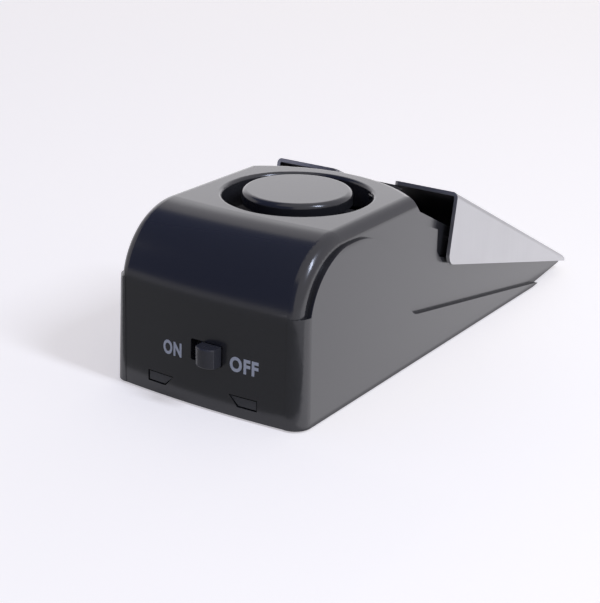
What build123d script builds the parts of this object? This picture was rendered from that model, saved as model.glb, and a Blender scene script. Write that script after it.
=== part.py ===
from build123d import *
import math
import os

os.makedirs("parts", exist_ok=True)

# Door stop alarm in millimetres, standing on its grip pads. +Z is up, +Y points to the thin tip,
# and the tall end with the switch faces -Y. The origin lies under the middle of the whole part.
# Places along the length are given as distances from the tall end's face, and heights from the
# housing's bottom rim: at() and up() turn them into Y and Z.

# Housing, outside
housing_length = 116.9
housing_width = 44.0
housing_height = 35.6
moulding_draft = 1.4
face_bulge = 1.1
front_top_radius = 15.0
edge_radius = 2.6
rim_height = 0.4
overrun = 4.0

# Curved rear wall of the tall end, a leaning cone about an upright axis
rear_cone_place = 21.3
rear_cone_radius = 30.2
rear_wall_lean = 31.0
rear_edge_radius = 2.2

# Deck under the plate: a raised middle and lower strips for the flanges
deck_start = 40.0
deck_start_height = 35.2
deck_angle = 26.6
deck_half_width = 20.6
deck_edge_radius = 0.8
ledge_place = 47.2
ledge_height = 29.0
ledge_end = 53.5
ledge_end_height = 26.4
strip_start = 53.4
strip_height = 20.3
strip_end_height = 2.4
strip_corner_radius = 2.0
underside_kink = 100.5
tip_lift = 1.7

# Raised side panels
panel_rise = 1.0
arch_front = 3.6
arch_foot_height = 22.3
arch_height = 33.0
arch_crown_start = 17.5
arch_crown_end = 19.2
arch_shoulder = 37.6
arch_shoulder_height = 20.7
arch_heel = 41.7
arch_heel_height = 11.0
arch_heel_radius = 4.0
step_end = 102.0
step_end_height = 0.6

# Walls
wall = 2.0
deck_wall = 1.8
cheek_wall = 1.8
seat_gap = 0.2

# Siren outlet
siren_place = 31.96
recess_radius = 15.6
recess_floor_radius = 14.6
recess_depth = 5.4
recess_edge_radius = 0.8
recess_floor_wall = 1.6
outlet_radius = 9.0
cap_radius = 11.4
cap_top_height = 36.6
cap_thickness = 2.8
cap_wall = 1.4
cap_skirt = 1.4
cap_edge_radius = 1.1
cap_rib_count = 4
cap_rib_width = 1.6
cap_rib_reach = 10.8
cap_rib_inner = 8.2
cap_clip_gap = 0.15
cap_clip_barb = 0.7
cap_clip_thickness = 1.0
cap_clip_width = 4.0

# Switch
switch_x = 1.4
switch_height = 11.6
switch_slot_width = 7.6
switch_slot_height = 4.4
switch_slot_radius = 0.4
knob_width = 4.4
knob_height = 4.0
knob_proud = 2.7
knob_edge_radius = 0.3
knob_gap = 0.4
knob_face_sag = 0.8
knob_shank_depth = 2.2
knob_shank_gap = 0.3
switch_body_width = 12.0
switch_body_height = 6.4
switch_body_depth = 4.2
switch_body_gap = 0.3
switch_board_width = 22.0
switch_board_height = 12.0
switch_board_thickness = 1.0
switch_screw_spacing = 16.0
switch_post_radius = 1.9
switch_pin_pitch = 3.0
switch_pin_radius = 0.35
switch_pin_length = 1.8
knob_shank_width = 2.6
knob_shank_height = 2.4

# Snap hooks of the base cover and their windows
hook_x = 10.0
hook_width = 6.0
hook_slant = 2.0
hook_low = 2.4
hook_high = 4.2
hook_gap = 0.25
hook_setback = 0.25
hook_arm_thickness = 1.3

# Base cover
base_thickness = 1.8
base_gap = 0.2
base_end = 112.8
base_screw_x = 17.1
base_screw_place = 62.4
base_boss_radius = 2.5
base_boss_height = 3.2
screw_radius = 1.1
screw_head_radius = 2.1
screw_head_height = 1.2
screw_head_gap = 0.2
screw_hole_radius = 1.3
screw_bore_gap = 0.05
screw_length = 8.0
short_screw_length = 5.0

# Battery and its bay
battery_length = 46.4
battery_width = 26.4
battery_height = 17.4
battery_corner_radius = 1.6
battery_start = 10.0
battery_floor = 2.0
terminal_spacing = 12.7
terminal_radius = 2.9
terminal_height = 2.1
terminal_socket_radius = 4.0
terminal_gap = 0.3
terminal_socket_wall = 0.7
snap_thickness = 3.6
snap_width = 25.0
snap_height = 12.4
snap_corner_radius = 3.0
bay_gap = 0.5
bay_wall = 1.2
bay_wall_height = 12.0
bay_return = 2.4

# Battery door
door_half_width = 13.6
door_start = 9.0
door_thickness = 1.6
door_gap = 0.3
door_pivot_place = 66.4
door_pivot_height = 1.3
door_pin_radius = 0.9
door_pin_reach = 1.4
door_pin_gap = 0.05
door_barrel_radius = 1.3
door_latch_width = 9.0
door_latch_length = 9.0
door_latch_slot = 0.9
door_grip_radius = 5.0
door_grip_depth = 0.6
door_grip_place = 23.0
door_lug_length = 4.4
door_lug_width = 2.2
door_lug_rise = 1.2

# Grip pads
pad_thickness = 1.2
pad_recess = 0.8
pad_gap = 0.15
pad_corner_radius = 1.5
tip_pad_start = 70.0
tip_pad_end = 99.0
tip_pad_half_width = 17.0
side_pad_start = 12.0
side_pad_end = 56.0
side_pad_inner = 15.9
side_pad_outer = 19.2

# Pressure plate
plate_thickness = 0.8
plate_width = 46.2
plate_rear = 58.6
plate_rear_height = 33.5
plate_angle = 27.0
plate_nose = 118.1
plate_nose_height = 1.8
plate_nose_radius = 2.0
plate_fold_radius = 1.2
flange_heel = 55.8
flange_heel_height = 18.25
flange_corner_radius = 2.6
plate_notch_half_width = 7.2
plate_notch_depth = 5.6
plate_notch_radius = 1.8
plate_tab_radius = 1.4
plate_travel = 5.5
ear_place = 62.3
ear_height = 22.1
ear_length = 2.2
ear_reach = 2.4
ear_slot_front = 59.4
ear_slot_rear = 63.9
ear_slot_low = 16.9
ear_slot_gap = 0.15
ear_slot_depth = 1.1

# Hinge at the tip
hinge_place = 108.0
hinge_height = 4.8
hinge_pin_radius = 1.0
hinge_bore_gap = 0.05
hinge_pin_half_length = 17.6
knuckle_x = 8.5
knuckle_width = 8.0
knuckle_radius = 1.9
knuckle_web = 1.6
lug_radius = 1.95
lug_x = 15.2
lug_width = 4.2
middle_lug_width = 7.4
hinge_bay_start = 103.6
hinge_bay_end = 113.0
hinge_bay_half_width = 19.0

# Trigger plunger, its well and spring
plunger_place = 72.0
plunger_dome_radius = 4.0
plunger_head_height = 1.8
plunger_dome_gap = 0.2
stem_radius = 1.8
stem_gap = 0.08
nib_radius = 0.9
nib_height = 10.4
well_radius = 4.7
well_wall = 1.3
well_floor_height = 12.3
well_floor = 1.2
spring_radius = 3.3
spring_wire_radius = 0.25
spring_turns = 4
spring_seat_gap = 0.1

# Trigger contact
leaf_root_x = -15.0
leaf_end_x = 1.4
leaf_thickness = 0.3
leaf_width = 4.0
leaf_drop = 0.3
leaf_gap = 0.15
bracket_thickness = 0.5
bracket_foot = 2.6
bracket_rise = 0.5
stud_radius = 1.2
stud_gap = 0.2
stud_x = 0.4

# Circuit board and what it carries
board_start = 69.6
board_end = 99.0
board_half_width = 16.0
board_thickness = 1.2
board_height = 3.0
board_screw_x = 12.4
board_screw_place = 95.0
board_screw_radius = 0.9
board_screw_head_radius = 1.7
board_screw_head_height = 0.9
board_screw_bite = 1.5
board_hole_gap = 0.2
post_radius = 2.2
front_post_place = 76.0
chip_length = 5.0
chip_width = 4.0
chip_height = 1.4
chip_x = 0.0
chip_place = 91.0
chip_lead_count = 4
chip_lead_pitch = 1.1
chip_lead_width = 0.4
chip_lead_reach = 0.9
chip_lead_thickness = 0.25
coil_radius = 3.6
coil_height = 6.4
coil_flange = 0.9
coil_x = 9.6
coil_place = 79.5
coil_flange_height = 0.8
transistor_radius = 2.3
transistor_height = 4.4
transistor_x = 1.0
transistor_place = 83.5
transistor_lift = 1.0
transistor_flat = 1.3
lead_pin_radius = 0.25
lead_pin_pitch = 1.3
lead_bend = 0.5
capacitor_radius = 2.5
capacitor_length = 7.0
capacitor_x = -9.6
capacitor_place = 83.4
capacitor_lead_reach = 0.9
resistor_radius = 0.8
resistor_length = 3.6
resistor_pitch = 2.2
resistor_count = 3
resistor_x = -9.0
resistor_place = 88.4
resistor_lift = 0.5
resistor_lead_reach = 0.8

# Siren inside
gasket_thickness = 1.0
gasket_inner_radius = 10.4
chamber_radius = 14.4
chamber_height = 6.2
chamber_wall = 1.2
chamber_port_radius = 4.5
piezo_radius = 12.9
piezo_thickness = 0.3
ceramic_radius = 9.6
ceramic_thickness = 0.25
piezo_depth = 3.0
piezo_seat_radius = 12.2
retainer_inner_radius = 11.4
siren_ear_reach = 17.6
siren_ear_radius = 2.6
siren_ear_thickness = 1.6
siren_ear_angle = 45.0

# Inner wires
wire_radius = 0.55
wire_bend = 3.3
wire_exit_bend = 1.7
wire_pair_pitch = 1.6
battery_lead_x = 5.2
battery_lead_pitch = 2.2
battery_lead_height = 9.6
battery_lead_end = 71.0
switch_lead_x = 9.8
switch_lead_end = 74.0
over_battery_height = 20.4
over_battery_end = 61.0
switch_lead_knee_height = 12.5
siren_lead_x = -8.0
siren_lead_pitch = -2.4
siren_lead_place = 33.0
siren_lead_end = 77.5
siren_lead_knee_height = 12.0

overall_length = plate_nose + face_bulge + knob_proud
face_y = -overall_length / 2 + face_bulge + knob_proud
deck_slope = math.tan(math.radians(deck_angle))
plate_slope = math.tan(math.radians(plate_angle))
half_width = housing_width / 2
panel_half_width = half_width + panel_rise


def at(distance):
    return face_y + distance


def up(height):
    return rim_height + height


def side(place, height):
    return (at(place), up(height))


def deck(place):
    """Height of the raised deck at a place along the length."""
    return deck_start_height - deck_slope * (place - deck_start)


def strip(place):
    """Height of the low strips beside the deck."""
    share = (place - strip_start) / (housing_length - strip_start)
    return strip_height + (strip_end_height - strip_height) * share


def underside(place):
    """Height of the housing's lower edge, which lifts towards the tip."""
    rise = tip_lift * (place - underside_kink) / (plate_nose - underside_kink)
    return max(0, rise)


def plate_face(place):
    """Height of the plate's upper face."""
    return plate_rear_height - plate_slope * (place - plate_rear)


# Where the raised deck runs out into the strips
strip_slope = (strip_height - strip_end_height) / (housing_length - strip_start)
deck_end = (
    deck_start_height + deck_slope * deck_start - strip_height - strip_slope * strip_start
) / (deck_slope - strip_slope)


def side_prism(half, front, rear):
    """A long block with drafted sides, on the rim."""
    with BuildPart() as prism:
        with BuildSketch(Plane.XY.offset(rim_height)):
            with Locations((0, (at(front) + at(rear)) / 2)):
                Rectangle(2 * half, rear - front)
        extrude(amount=housing_height + overrun, taper=moulding_draft)
    return prism.part


def rounded_block(half, corner_radius):
    """The housing's block: bulged face, round front top, and one rounding all along its sides."""
    bulge_radius = (half**2 + face_bulge**2) / (2 * face_bulge)
    foot = at(-face_bulge)
    lean = math.tan(math.radians(moulding_draft))
    shoulder = foot + lean * (housing_height - front_top_radius)
    with BuildPart() as block:
        with BuildSketch(Plane.YZ):
            with BuildLine():
                front_line = Line((foot, rim_height), (shoulder, up(housing_height - front_top_radius)))
                top_arc = TangentArc(
                    front_line @ 1,
                    (shoulder + front_top_radius, up(housing_height)),
                    tangent=front_line % 1,
                )
                Polyline(
                    top_arc @ 1,
                    (at(housing_length), up(housing_height)),
                    (at(housing_length), rim_height),
                    (foot, rim_height),
                )
            make_face()
        revolve(axis=Axis((0, foot + bulge_radius, 0), (0, 0, 1)))
        add(side_prism(half, -2 * housing_height, housing_length), mode=Mode.INTERSECT)
        side_edges = [
            edge
            for edge in block.edges()
            if abs(edge.center().X) > half - front_top_radius / 4
            and edge.center().Z > up(overrun)
            and edge.center().Y < at(housing_length - overrun)
        ]
        fillet(side_edges, radius=corner_radius)
    return block.part


def rear_cone(inset, rounding):
    """The leaning rear wall as a round-edged cone, or the cavity's cone inside it."""
    low = -overrun
    lean = math.tan(math.radians(rear_wall_lean))
    grow = inset / math.cos(math.radians(rear_wall_lean))
    with BuildPart() as cone:
        with Locations((0, at(rear_cone_place), up(low))):
            Cone(
                bottom_radius=rear_cone_radius - grow + lean * (housing_height - low),
                top_radius=rear_cone_radius - grow,
                height=housing_height - low,
                align=(Align.CENTER, Align.CENTER, Align.MIN),
            )
        if rounding > 0:
            top_edge = cone.edges().filter_by(GeomType.CIRCLE).sort_by(Axis.Z)[-1]
            fillet(top_edge, radius=rounding)
    return cone.part


def side_shape(points, reach):
    """A prism across the part, from its outline seen from the side."""
    with BuildPart() as shape:
        with BuildSketch(Plane.YZ):
            with BuildLine():
                Polyline([side(*point) for point in points], close=True)
            make_face()
        extrude(amount=reach, both=True)
    return shape.part


def hook_outline(gap):
    """Outline of a snap hook and its window: upright outside, slanted towards the middle."""
    inner = hook_x - hook_width / 2 - gap
    outer = hook_x + hook_width / 2 + gap
    low = up(hook_low - gap)
    high = up(hook_high + gap)
    return [(outer, high), (outer, low), (inner + hook_slant, low), (inner, high)]


def face_offset(x):
    """How far the bulged face stands out at a distance from the middle."""
    return -face_bulge * (1 - (x / half_width) ** 2)


def front_plane(place):
    """A plane across the part, facing the tall end."""
    return Plane.XZ.offset(-at(place))


# Where the siren, its ears and its screws lie
siren_y = at(siren_place)
ear_turns = [siren_ear_angle, siren_ear_angle + 180]
siren_ears = [
    (
        siren_ear_reach * math.cos(math.radians(turn)),
        siren_y + siren_ear_reach * math.sin(math.radians(turn)),
    )
    for turn in ear_turns
]
recess_floor_height = housing_height - recess_depth
recess_under = recess_floor_height - recess_floor_wall
chamber_top = recess_under - gasket_thickness
siren_ear_top = chamber_top - chamber_height / 2
base_screws_at = [(x, at(base_screw_place)) for x in (-base_screw_x, base_screw_x)]
switch_screws_at = [switch_x + step * switch_screw_spacing / 2 for step in (-1, 1)]
inner_shoulder = wall + math.tan(math.radians(moulding_draft)) * housing_height / 2
inner_top = housing_height - wall
switch_front = inner_shoulder + switch_body_gap
switch_back = switch_front + switch_body_depth
bulge_radius = (half_width**2 + face_bulge**2) / (2 * face_bulge)

# Upper housing
with BuildPart() as side_panels:
    add(rounded_block(panel_half_width, edge_radius + panel_rise))
    with BuildSketch(Plane.YZ):
        with BuildLine():
            TangentArc(
                side(arch_crown_start, arch_height),
                side(arch_front, arch_foot_height),
                tangent=(-1, 0),
            )
            Line(side(arch_crown_start, arch_height), side(arch_crown_end, arch_height))
            TangentArc(
                side(arch_crown_end, arch_height),
                side(arch_shoulder, arch_shoulder_height),
                tangent=(1, 0),
            )
            FilletPolyline(
                side(arch_shoulder, arch_shoulder_height),
                side(arch_heel, arch_heel_height),
                side(step_end, step_end_height),
                radius=arch_heel_radius,
            )
            Polyline(
                side(step_end, step_end_height),
                side(housing_length, step_end_height - overrun),
                side(-overrun, -overrun),
                side(-overrun, arch_foot_height),
                side(arch_front, arch_foot_height),
            )
        make_face()
    extrude(amount=panel_half_width, both=True, mode=Mode.INTERSECT)
    with BuildSketch(Plane.XY):
        with Locations((0, at(housing_length / 2))):
            Rectangle(2 * (half_width - edge_radius), housing_length * 2)
    extrude(amount=housing_height * 2, mode=Mode.SUBTRACT)

above = housing_height + overrun
beyond = housing_length + overrun
deck_cut = side_shape(
    [
        (deck_start - (above - deck_start_height) / deck_slope, above),
        (deck_end, deck(deck_end)),
        (beyond, strip(beyond)),
        (beyond, above),
    ],
    panel_half_width + overrun,
) - rear_cone(0, rear_edge_radius)

with BuildPart() as strip_cut:
    ledge_slope = (ledge_height - ledge_end_height) / (ledge_end - ledge_place)
    with BuildSketch(Plane.YZ):
        with BuildLine():
            FilletPolyline(
                side(ledge_end, ledge_end_height),
                side(strip_start, strip_height),
                side(beyond, strip(beyond)),
                radius=strip_corner_radius,
            )
            Polyline(
                side(beyond, strip(beyond)),
                side(beyond, above),
                side(ledge_place - overrun, above),
                side(ledge_place - overrun, ledge_height + ledge_slope * overrun),
                side(ledge_end, ledge_end_height),
            )
        make_face()
    extrude(amount=panel_half_width + overrun, both=True)
    with Locations((0, at(housing_length / 2), 0)):
        Box(2 * deck_half_width, 2 * housing_length, 2 * above + overrun, mode=Mode.SUBTRACT)
    add(rear_cone(0, rear_edge_radius), mode=Mode.SUBTRACT)

underside_cut = side_shape(
    [
        (underside_kink, 0),
        (plate_nose + overrun, underside(plate_nose + overrun)),
        (plate_nose + overrun, -overrun),
        (underside_kink, -overrun),
    ],
    panel_half_width + overrun,
)

with BuildPart() as tall_cavity:
    inner_radius = front_top_radius - wall
    with BuildSketch(Plane.YZ):
        with BuildLine():
            front_line = Line(side(wall, -overrun), side(inner_shoulder, inner_top - inner_radius))
            TangentArc(
                front_line @ 1,
                side(inner_shoulder + inner_radius, inner_top),
                tangent=(0, 1),
            )
            Polyline(
                side(inner_shoulder + inner_radius, inner_top),
                side(strip_start - wall, inner_top),
                side(strip_start - wall, -overrun),
                side(wall, -overrun),
            )
        make_face()
    extrude(amount=half_width - wall, both=True)
    with BuildSketch(Plane.XY.offset(rim_height)):
        with Locations((0, at(housing_length / 2))):
            Rectangle(2 * (half_width - wall), 2 * housing_length)
    extrude(amount=above, taper=moulding_draft, mode=Mode.INTERSECT)
    add(rear_cone(wall, 0), mode=Mode.INTERSECT)
    with Locations((0, siren_y, up(recess_under))):
        Cylinder(
            recess_radius + recess_floor_wall,
            above,
            align=(Align.CENTER, Align.CENTER, Align.MIN),
            mode=Mode.SUBTRACT,
        )

deck_drop = deck_wall / math.cos(math.radians(deck_angle))
cavity_end = hinge_bay_start - deck_wall
deck_cavity = side_shape(
    [
        (deck_start + overrun, deck(deck_start + overrun) - deck_drop),
        (deck_end, deck(deck_end) - deck_drop),
        (cavity_end, strip(cavity_end) - deck_drop),
        (cavity_end, -overrun),
        (deck_start + overrun, -overrun),
    ],
    deck_half_width - cheek_wall,
)
low_cavity = side_shape(
    [
        (deck_start, strip(strip_start) - deck_drop),
        (strip_start, strip(strip_start) - deck_drop),
        (cavity_end, strip(cavity_end) - deck_drop),
        (cavity_end, -overrun),
        (deck_start, -overrun),
    ],
    half_width - wall,
)

base_space = side_shape(
    [
        (wall, -overrun),
        (hinge_bay_end, -overrun),
        (hinge_bay_end, underside(hinge_bay_end) + base_thickness + base_gap),
        (underside_kink, base_thickness + base_gap),
        (wall, base_thickness + base_gap),
    ],
    half_width - wall,
)
hinge_bay = side_shape(
    [
        (hinge_bay_start, -overrun),
        (hinge_bay_end, -overrun),
        (hinge_bay_end, above),
        (hinge_bay_start, above),
    ],
    hinge_bay_half_width,
)

# The well that the trigger plunger slides in hangs from the deck
with BuildPart() as well_tube:
    with Locations((0, at(plunger_place), up(well_floor_height - well_floor))):
        Cylinder(
            well_radius + well_wall,
            deck(plunger_place - well_radius - well_wall) - well_floor_height + well_floor,
            align=(Align.CENTER, Align.CENTER, Align.MIN),
        )
    add(deck_cut, mode=Mode.SUBTRACT)


def hook_prisms(gap, rear):
    """Both hooks' outlines run forward from a place behind the front wall."""
    with BuildPart() as prisms:
        with BuildSketch(front_plane(rear)):
            with BuildLine():
                Polyline(hook_outline(gap), close=True)
            make_face()
            mirror(about=Plane.YZ)
        extrude(amount=rear + overrun)
    return prisms.part


with BuildPart() as upper_housing:
    add(rounded_block(half_width, edge_radius))
    add(side_panels.part)
    add(deck_cut, mode=Mode.SUBTRACT)
    add(strip_cut.part, mode=Mode.SUBTRACT)
    add(underside_cut, mode=Mode.SUBTRACT)
    # Siren recess and its outlet
    with Locations((0, siren_y, up(recess_floor_height))):
        Cone(
            bottom_radius=recess_floor_radius,
            top_radius=recess_radius,
            height=recess_depth,
            align=(Align.CENTER, Align.CENTER, Align.MIN),
            mode=Mode.SUBTRACT,
        )
    rim_edge = (
        upper_housing.edges()
        .filter_by(GeomType.CIRCLE)
        .filter_by(lambda edge: abs(edge.center().Z - up(housing_height)) < seat_gap)
        .sort_by(lambda edge: abs(edge.radius - recess_radius))[0]
    )
    fillet(rim_edge, radius=recess_edge_radius)
    add(tall_cavity.part, mode=Mode.SUBTRACT)
    add(deck_cavity, mode=Mode.SUBTRACT)
    add(low_cavity, mode=Mode.SUBTRACT)
    add(base_space, mode=Mode.SUBTRACT)
    add(hinge_bay, mode=Mode.SUBTRACT)
    with Locations((0, siren_y, up(recess_under))):
        Cylinder(outlet_radius, above, mode=Mode.SUBTRACT)
    # Screw bosses under the roof, above the base and behind the front wall
    with Locations(*[(x, y, up(siren_ear_top)) for x, y in siren_ears]):
        Cylinder(
            base_boss_radius,
            inner_top - siren_ear_top + wall / 2,
            align=(Align.CENTER, Align.CENTER, Align.MIN),
        )
    with Locations(*[(x, y, up(base_boss_height)) for x, y in base_screws_at]):
        Cylinder(
            base_boss_radius,
            strip(base_screw_place) - base_boss_height,
            align=(Align.CENTER, Align.CENTER, Align.MIN),
        )
    with BuildSketch(front_plane(switch_back)):
        with Locations(*[(x, up(switch_height)) for x in switch_screws_at]):
            Circle(switch_post_radius)
    extrude(amount=switch_back - wall / 2)
    add(well_tube.part)
    # Screw bores
    with Locations(*[(x, y, up(siren_ear_top)) for x, y in siren_ears]):
        Cylinder(screw_radius + screw_bore_gap, short_screw_length * 2, mode=Mode.SUBTRACT)
    with Locations(*[(x, y, up(base_boss_height)) for x, y in base_screws_at]):
        Cylinder(screw_radius + screw_bore_gap, screw_length * 2, mode=Mode.SUBTRACT)
    with BuildSketch(front_plane(switch_back)):
        with Locations(*[(x, up(switch_height)) for x in switch_screws_at]):
            Circle(screw_radius + screw_bore_gap)
    extrude(amount=short_screw_length - switch_board_thickness, mode=Mode.SUBTRACT)
    # Plunger well and its guide hole
    with Locations((0, at(plunger_place), up(well_floor_height))):
        Cylinder(
            well_radius,
            above,
            align=(Align.CENTER, Align.CENTER, Align.MIN),
            mode=Mode.SUBTRACT,
        )
        Cylinder(stem_radius + stem_gap, well_floor * 4, mode=Mode.SUBTRACT)
    # Switch slot and hook windows in the tall end
    with BuildSketch(front_plane(inner_shoulder + base_gap)):
        with Locations((switch_x, up(switch_height))):
            RectangleRounded(switch_slot_width, switch_slot_height, switch_slot_radius)
    extrude(amount=overrun * 2, mode=Mode.SUBTRACT)
    add(hook_prisms(hook_gap, inner_shoulder + base_gap), mode=Mode.SUBTRACT)
    # Slots that let the plate's ears travel and stop them at the top
    ear_slot_top = ear_height + plate_thickness / 2 + ear_slot_gap
    for way in (-1, 1):
        with Locations(
            (way * (deck_half_width - ear_slot_depth), at(ear_slot_front), up(ear_slot_low))
        ):
            Box(
                overrun,
                ear_slot_rear - ear_slot_front,
                ear_slot_top - ear_slot_low,
                align=(Align.MAX if way < 0 else Align.MIN, Align.MIN, Align.MIN),
                mode=Mode.SUBTRACT,
            )
upper_housing.part.label = "upper_housing"
export_step(upper_housing.part, "parts/upper_housing.step")

# Noses of the base cover's hooks, set back a little from the bulged face
arm_front = inner_shoulder + base_gap
with BuildPart() as hook_noses:
    add(hook_prisms(0, arm_front))
    with Locations((0, at(bulge_radius - face_bulge), 0)):
        Cylinder(bulge_radius - hook_setback, 2 * housing_height, mode=Mode.INTERSECT)

# Base cover
with BuildPart() as base_cover:
    floor_front = wall + base_gap
    base_half = half_width - wall - base_gap
    add(
        side_shape(
            [
                (floor_front, 0),
                (underside_kink, 0),
                (base_end, underside(base_end)),
                (base_end, underside(base_end) + base_thickness),
                (underside_kink, base_thickness),
                (floor_front, base_thickness),
            ],
            base_half,
        )
    )
    # Screw bosses, board posts and the walls round the battery
    with Locations(*[(x, y, up(0)) for x, y in base_screws_at]):
        Cylinder(
            base_boss_radius,
            base_boss_height,
            align=(Align.CENTER, Align.CENTER, Align.MIN),
        )
    board_posts_at = [
        (x, at(place))
        for x in (-board_screw_x, board_screw_x)
        for place in (board_screw_place, front_post_place)
    ]
    with Locations(*[(x, y, up(base_thickness)) for x, y in board_posts_at]):
        Cylinder(
            post_radius,
            board_height - base_thickness,
            align=(Align.CENTER, Align.CENTER, Align.MIN),
        )
    bay_inner = door_half_width + door_gap
    bay_front = battery_start - bay_gap
    bay_rear = battery_start + battery_length + bay_gap
    with BuildSketch(Plane.XY.offset(up(base_thickness))):
        with BuildLine():
            Polyline(
                (bay_inner + bay_wall, at(bay_front - bay_wall)),
                (bay_inner + bay_wall, at(bay_rear + bay_wall)),
                (bay_inner - bay_return / 2, at(bay_rear + bay_wall)),
                (bay_inner - bay_return / 2, at(bay_rear)),
                (bay_inner, at(bay_rear)),
                (bay_inner, at(bay_front)),
                (bay_inner - bay_return, at(bay_front)),
                (bay_inner - bay_return, at(bay_front - bay_wall)),
                close=True,
            )
        make_face()
        mirror(about=Plane.YZ)
    extrude(amount=bay_wall_height - base_thickness)
    # Small lugs for the door's pins
    for way in (-1, 1):
        with Locations((way * bay_inner, at(door_pivot_place), up(0))):
            Box(
                door_lug_width,
                door_lug_length,
                base_thickness + door_lug_rise,
                align=(Align.MAX if way < 0 else Align.MIN, Align.CENTER, Align.MIN),
            )
    # Lugs that hold the plate's hinge pin
    for x, width in ((-lug_x, lug_width), (0, middle_lug_width), (lug_x, lug_width)):
        with BuildSketch(Plane.YZ.offset(x)):
            with Locations(side(hinge_place, hinge_height)):
                Circle(lug_radius)
                Rectangle(
                    2 * lug_radius,
                    hinge_height - underside(hinge_place) - base_thickness / 2,
                    align=(Align.CENTER, Align.MAX),
                )
        extrude(amount=width / 2, both=True)
    # Snap hooks: an arm behind the tall end's wall and a nose in its window
    with BuildSketch(Plane.XY.offset(up(base_thickness))):
        with Locations((hook_x, at(arm_front)), (-hook_x, at(arm_front))):
            Rectangle(hook_width, hook_arm_thickness, align=(Align.CENTER, Align.MIN))
    extrude(amount=hook_high - base_thickness)
    add(hook_noses.part)
    # Bores and pockets
    with BuildSketch(Plane.YZ):
        with Locations(side(hinge_place, hinge_height)):
            Circle(hinge_pin_radius + hinge_bore_gap)
    extrude(amount=half_width, both=True, mode=Mode.SUBTRACT)
    with BuildSketch(Plane.XY.offset(up(-overrun))):
        with Locations((0, at(door_start - door_gap))):
            Rectangle(
                2 * bay_inner,
                door_pivot_place + door_barrel_radius - door_start + 2 * door_gap,
                align=(Align.CENTER, Align.MIN),
            )
    extrude(amount=overrun + base_thickness, mode=Mode.SUBTRACT)
    with BuildSketch(Plane.YZ):
        with Locations(side(door_pivot_place, door_pivot_height)):
            Circle(door_pin_radius + door_pin_gap)
    extrude(amount=bay_inner + door_pin_reach, both=True, mode=Mode.SUBTRACT)
    with Locations(*[(x, y, up(0)) for x, y in base_screws_at]):
        Cylinder(screw_hole_radius, base_boss_height * 3, mode=Mode.SUBTRACT)
        Cylinder(
            screw_head_radius + screw_head_gap,
            screw_head_height + screw_head_gap,
            align=(Align.CENTER, Align.CENTER, Align.MIN),
            mode=Mode.SUBTRACT,
        )
    board_screws_at = [(x, at(board_screw_place)) for x in (-board_screw_x, board_screw_x)]
    with Locations(*[(x, y, up(board_height)) for x, y in board_screws_at]):
        Cylinder(
            board_screw_radius + screw_bore_gap,
            board_screw_bite + screw_bore_gap,
            align=(Align.CENTER, Align.CENTER, Align.MAX),
            mode=Mode.SUBTRACT,
        )
    with BuildSketch(Plane.XY.offset(up(0))):
        for x in (-1, 1):
            with Locations(
                (x * (side_pad_inner + side_pad_outer) / 2, at((side_pad_start + side_pad_end) / 2))
            ):
                RectangleRounded(
                    side_pad_outer - side_pad_inner + 2 * pad_gap,
                    side_pad_end - side_pad_start + 2 * pad_gap,
                    pad_corner_radius + pad_gap,
                )
        with Locations((0, at((tip_pad_start + tip_pad_end) / 2))):
            RectangleRounded(
                2 * (tip_pad_half_width + pad_gap),
                tip_pad_end - tip_pad_start + 2 * pad_gap,
                pad_corner_radius + pad_gap,
            )
    extrude(amount=pad_recess, mode=Mode.SUBTRACT)
base_cover.part.label = "base_cover"
export_step(base_cover.part, "parts/base_cover.step")

# Grip pads, one under each side and one under the tip
with BuildPart() as grip_pads:
    with BuildSketch(Plane.XY.offset(up(pad_recess - pad_thickness))):
        for x in (-1, 1):
            with Locations(
                (x * (side_pad_inner + side_pad_outer) / 2, at((side_pad_start + side_pad_end) / 2))
            ):
                RectangleRounded(
                    side_pad_outer - side_pad_inner,
                    side_pad_end - side_pad_start,
                    pad_corner_radius,
                )
        with Locations((0, at((tip_pad_start + tip_pad_end) / 2))):
            RectangleRounded(
                2 * tip_pad_half_width, tip_pad_end - tip_pad_start, pad_corner_radius
            )
    extrude(amount=pad_thickness)
grip_pads.part.label = "grip_pads"
export_step(grip_pads.part, "parts/grip_pads.step")

# Battery door, hinged behind the battery
with BuildPart() as battery_door:
    with BuildSketch(Plane.XY.offset(up(0))):
        with Locations((0, at(door_start))):
            Rectangle(
                2 * door_half_width,
                door_pivot_place - door_start,
                align=(Align.CENTER, Align.MIN),
            )
        with Locations(
            (-door_latch_width / 2, at(door_start)), (door_latch_width / 2, at(door_start))
        ):
            Rectangle(
                door_latch_slot,
                door_latch_length,
                align=(Align.CENTER, Align.MIN),
                mode=Mode.SUBTRACT,
            )
    extrude(amount=door_thickness)
    with BuildSketch(Plane.YZ):
        with Locations(side(door_pivot_place, door_pivot_height)):
            Circle(door_barrel_radius)
    extrude(amount=door_half_width, both=True)
    with BuildSketch(Plane.YZ):
        with Locations(side(door_pivot_place, door_pivot_height)):
            Circle(door_pin_radius)
    extrude(amount=bay_inner + door_pin_reach - door_gap, both=True)
    with Locations((0, at(door_grip_place), up(0))):
        Cylinder(
            door_grip_radius,
            door_grip_depth,
            align=(Align.CENTER, Align.CENTER, Align.MIN),
            mode=Mode.SUBTRACT,
        )
battery_door.part.label = "battery_door"
export_step(battery_door.part, "parts/battery_door.step")

# Battery, its terminals and the snap connector
battery_middle = battery_floor + battery_height / 2
battery_rear = battery_start + battery_length
terminals_end = battery_rear + terminal_height
with BuildPart() as battery:
    with BuildSketch(front_plane(battery_rear)):
        with Locations((0, up(battery_middle))):
            RectangleRounded(battery_width, battery_height, battery_corner_radius)
    extrude(amount=battery_length)
battery.part.label = "battery"
export_step(battery.part, "parts/battery.step")

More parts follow.
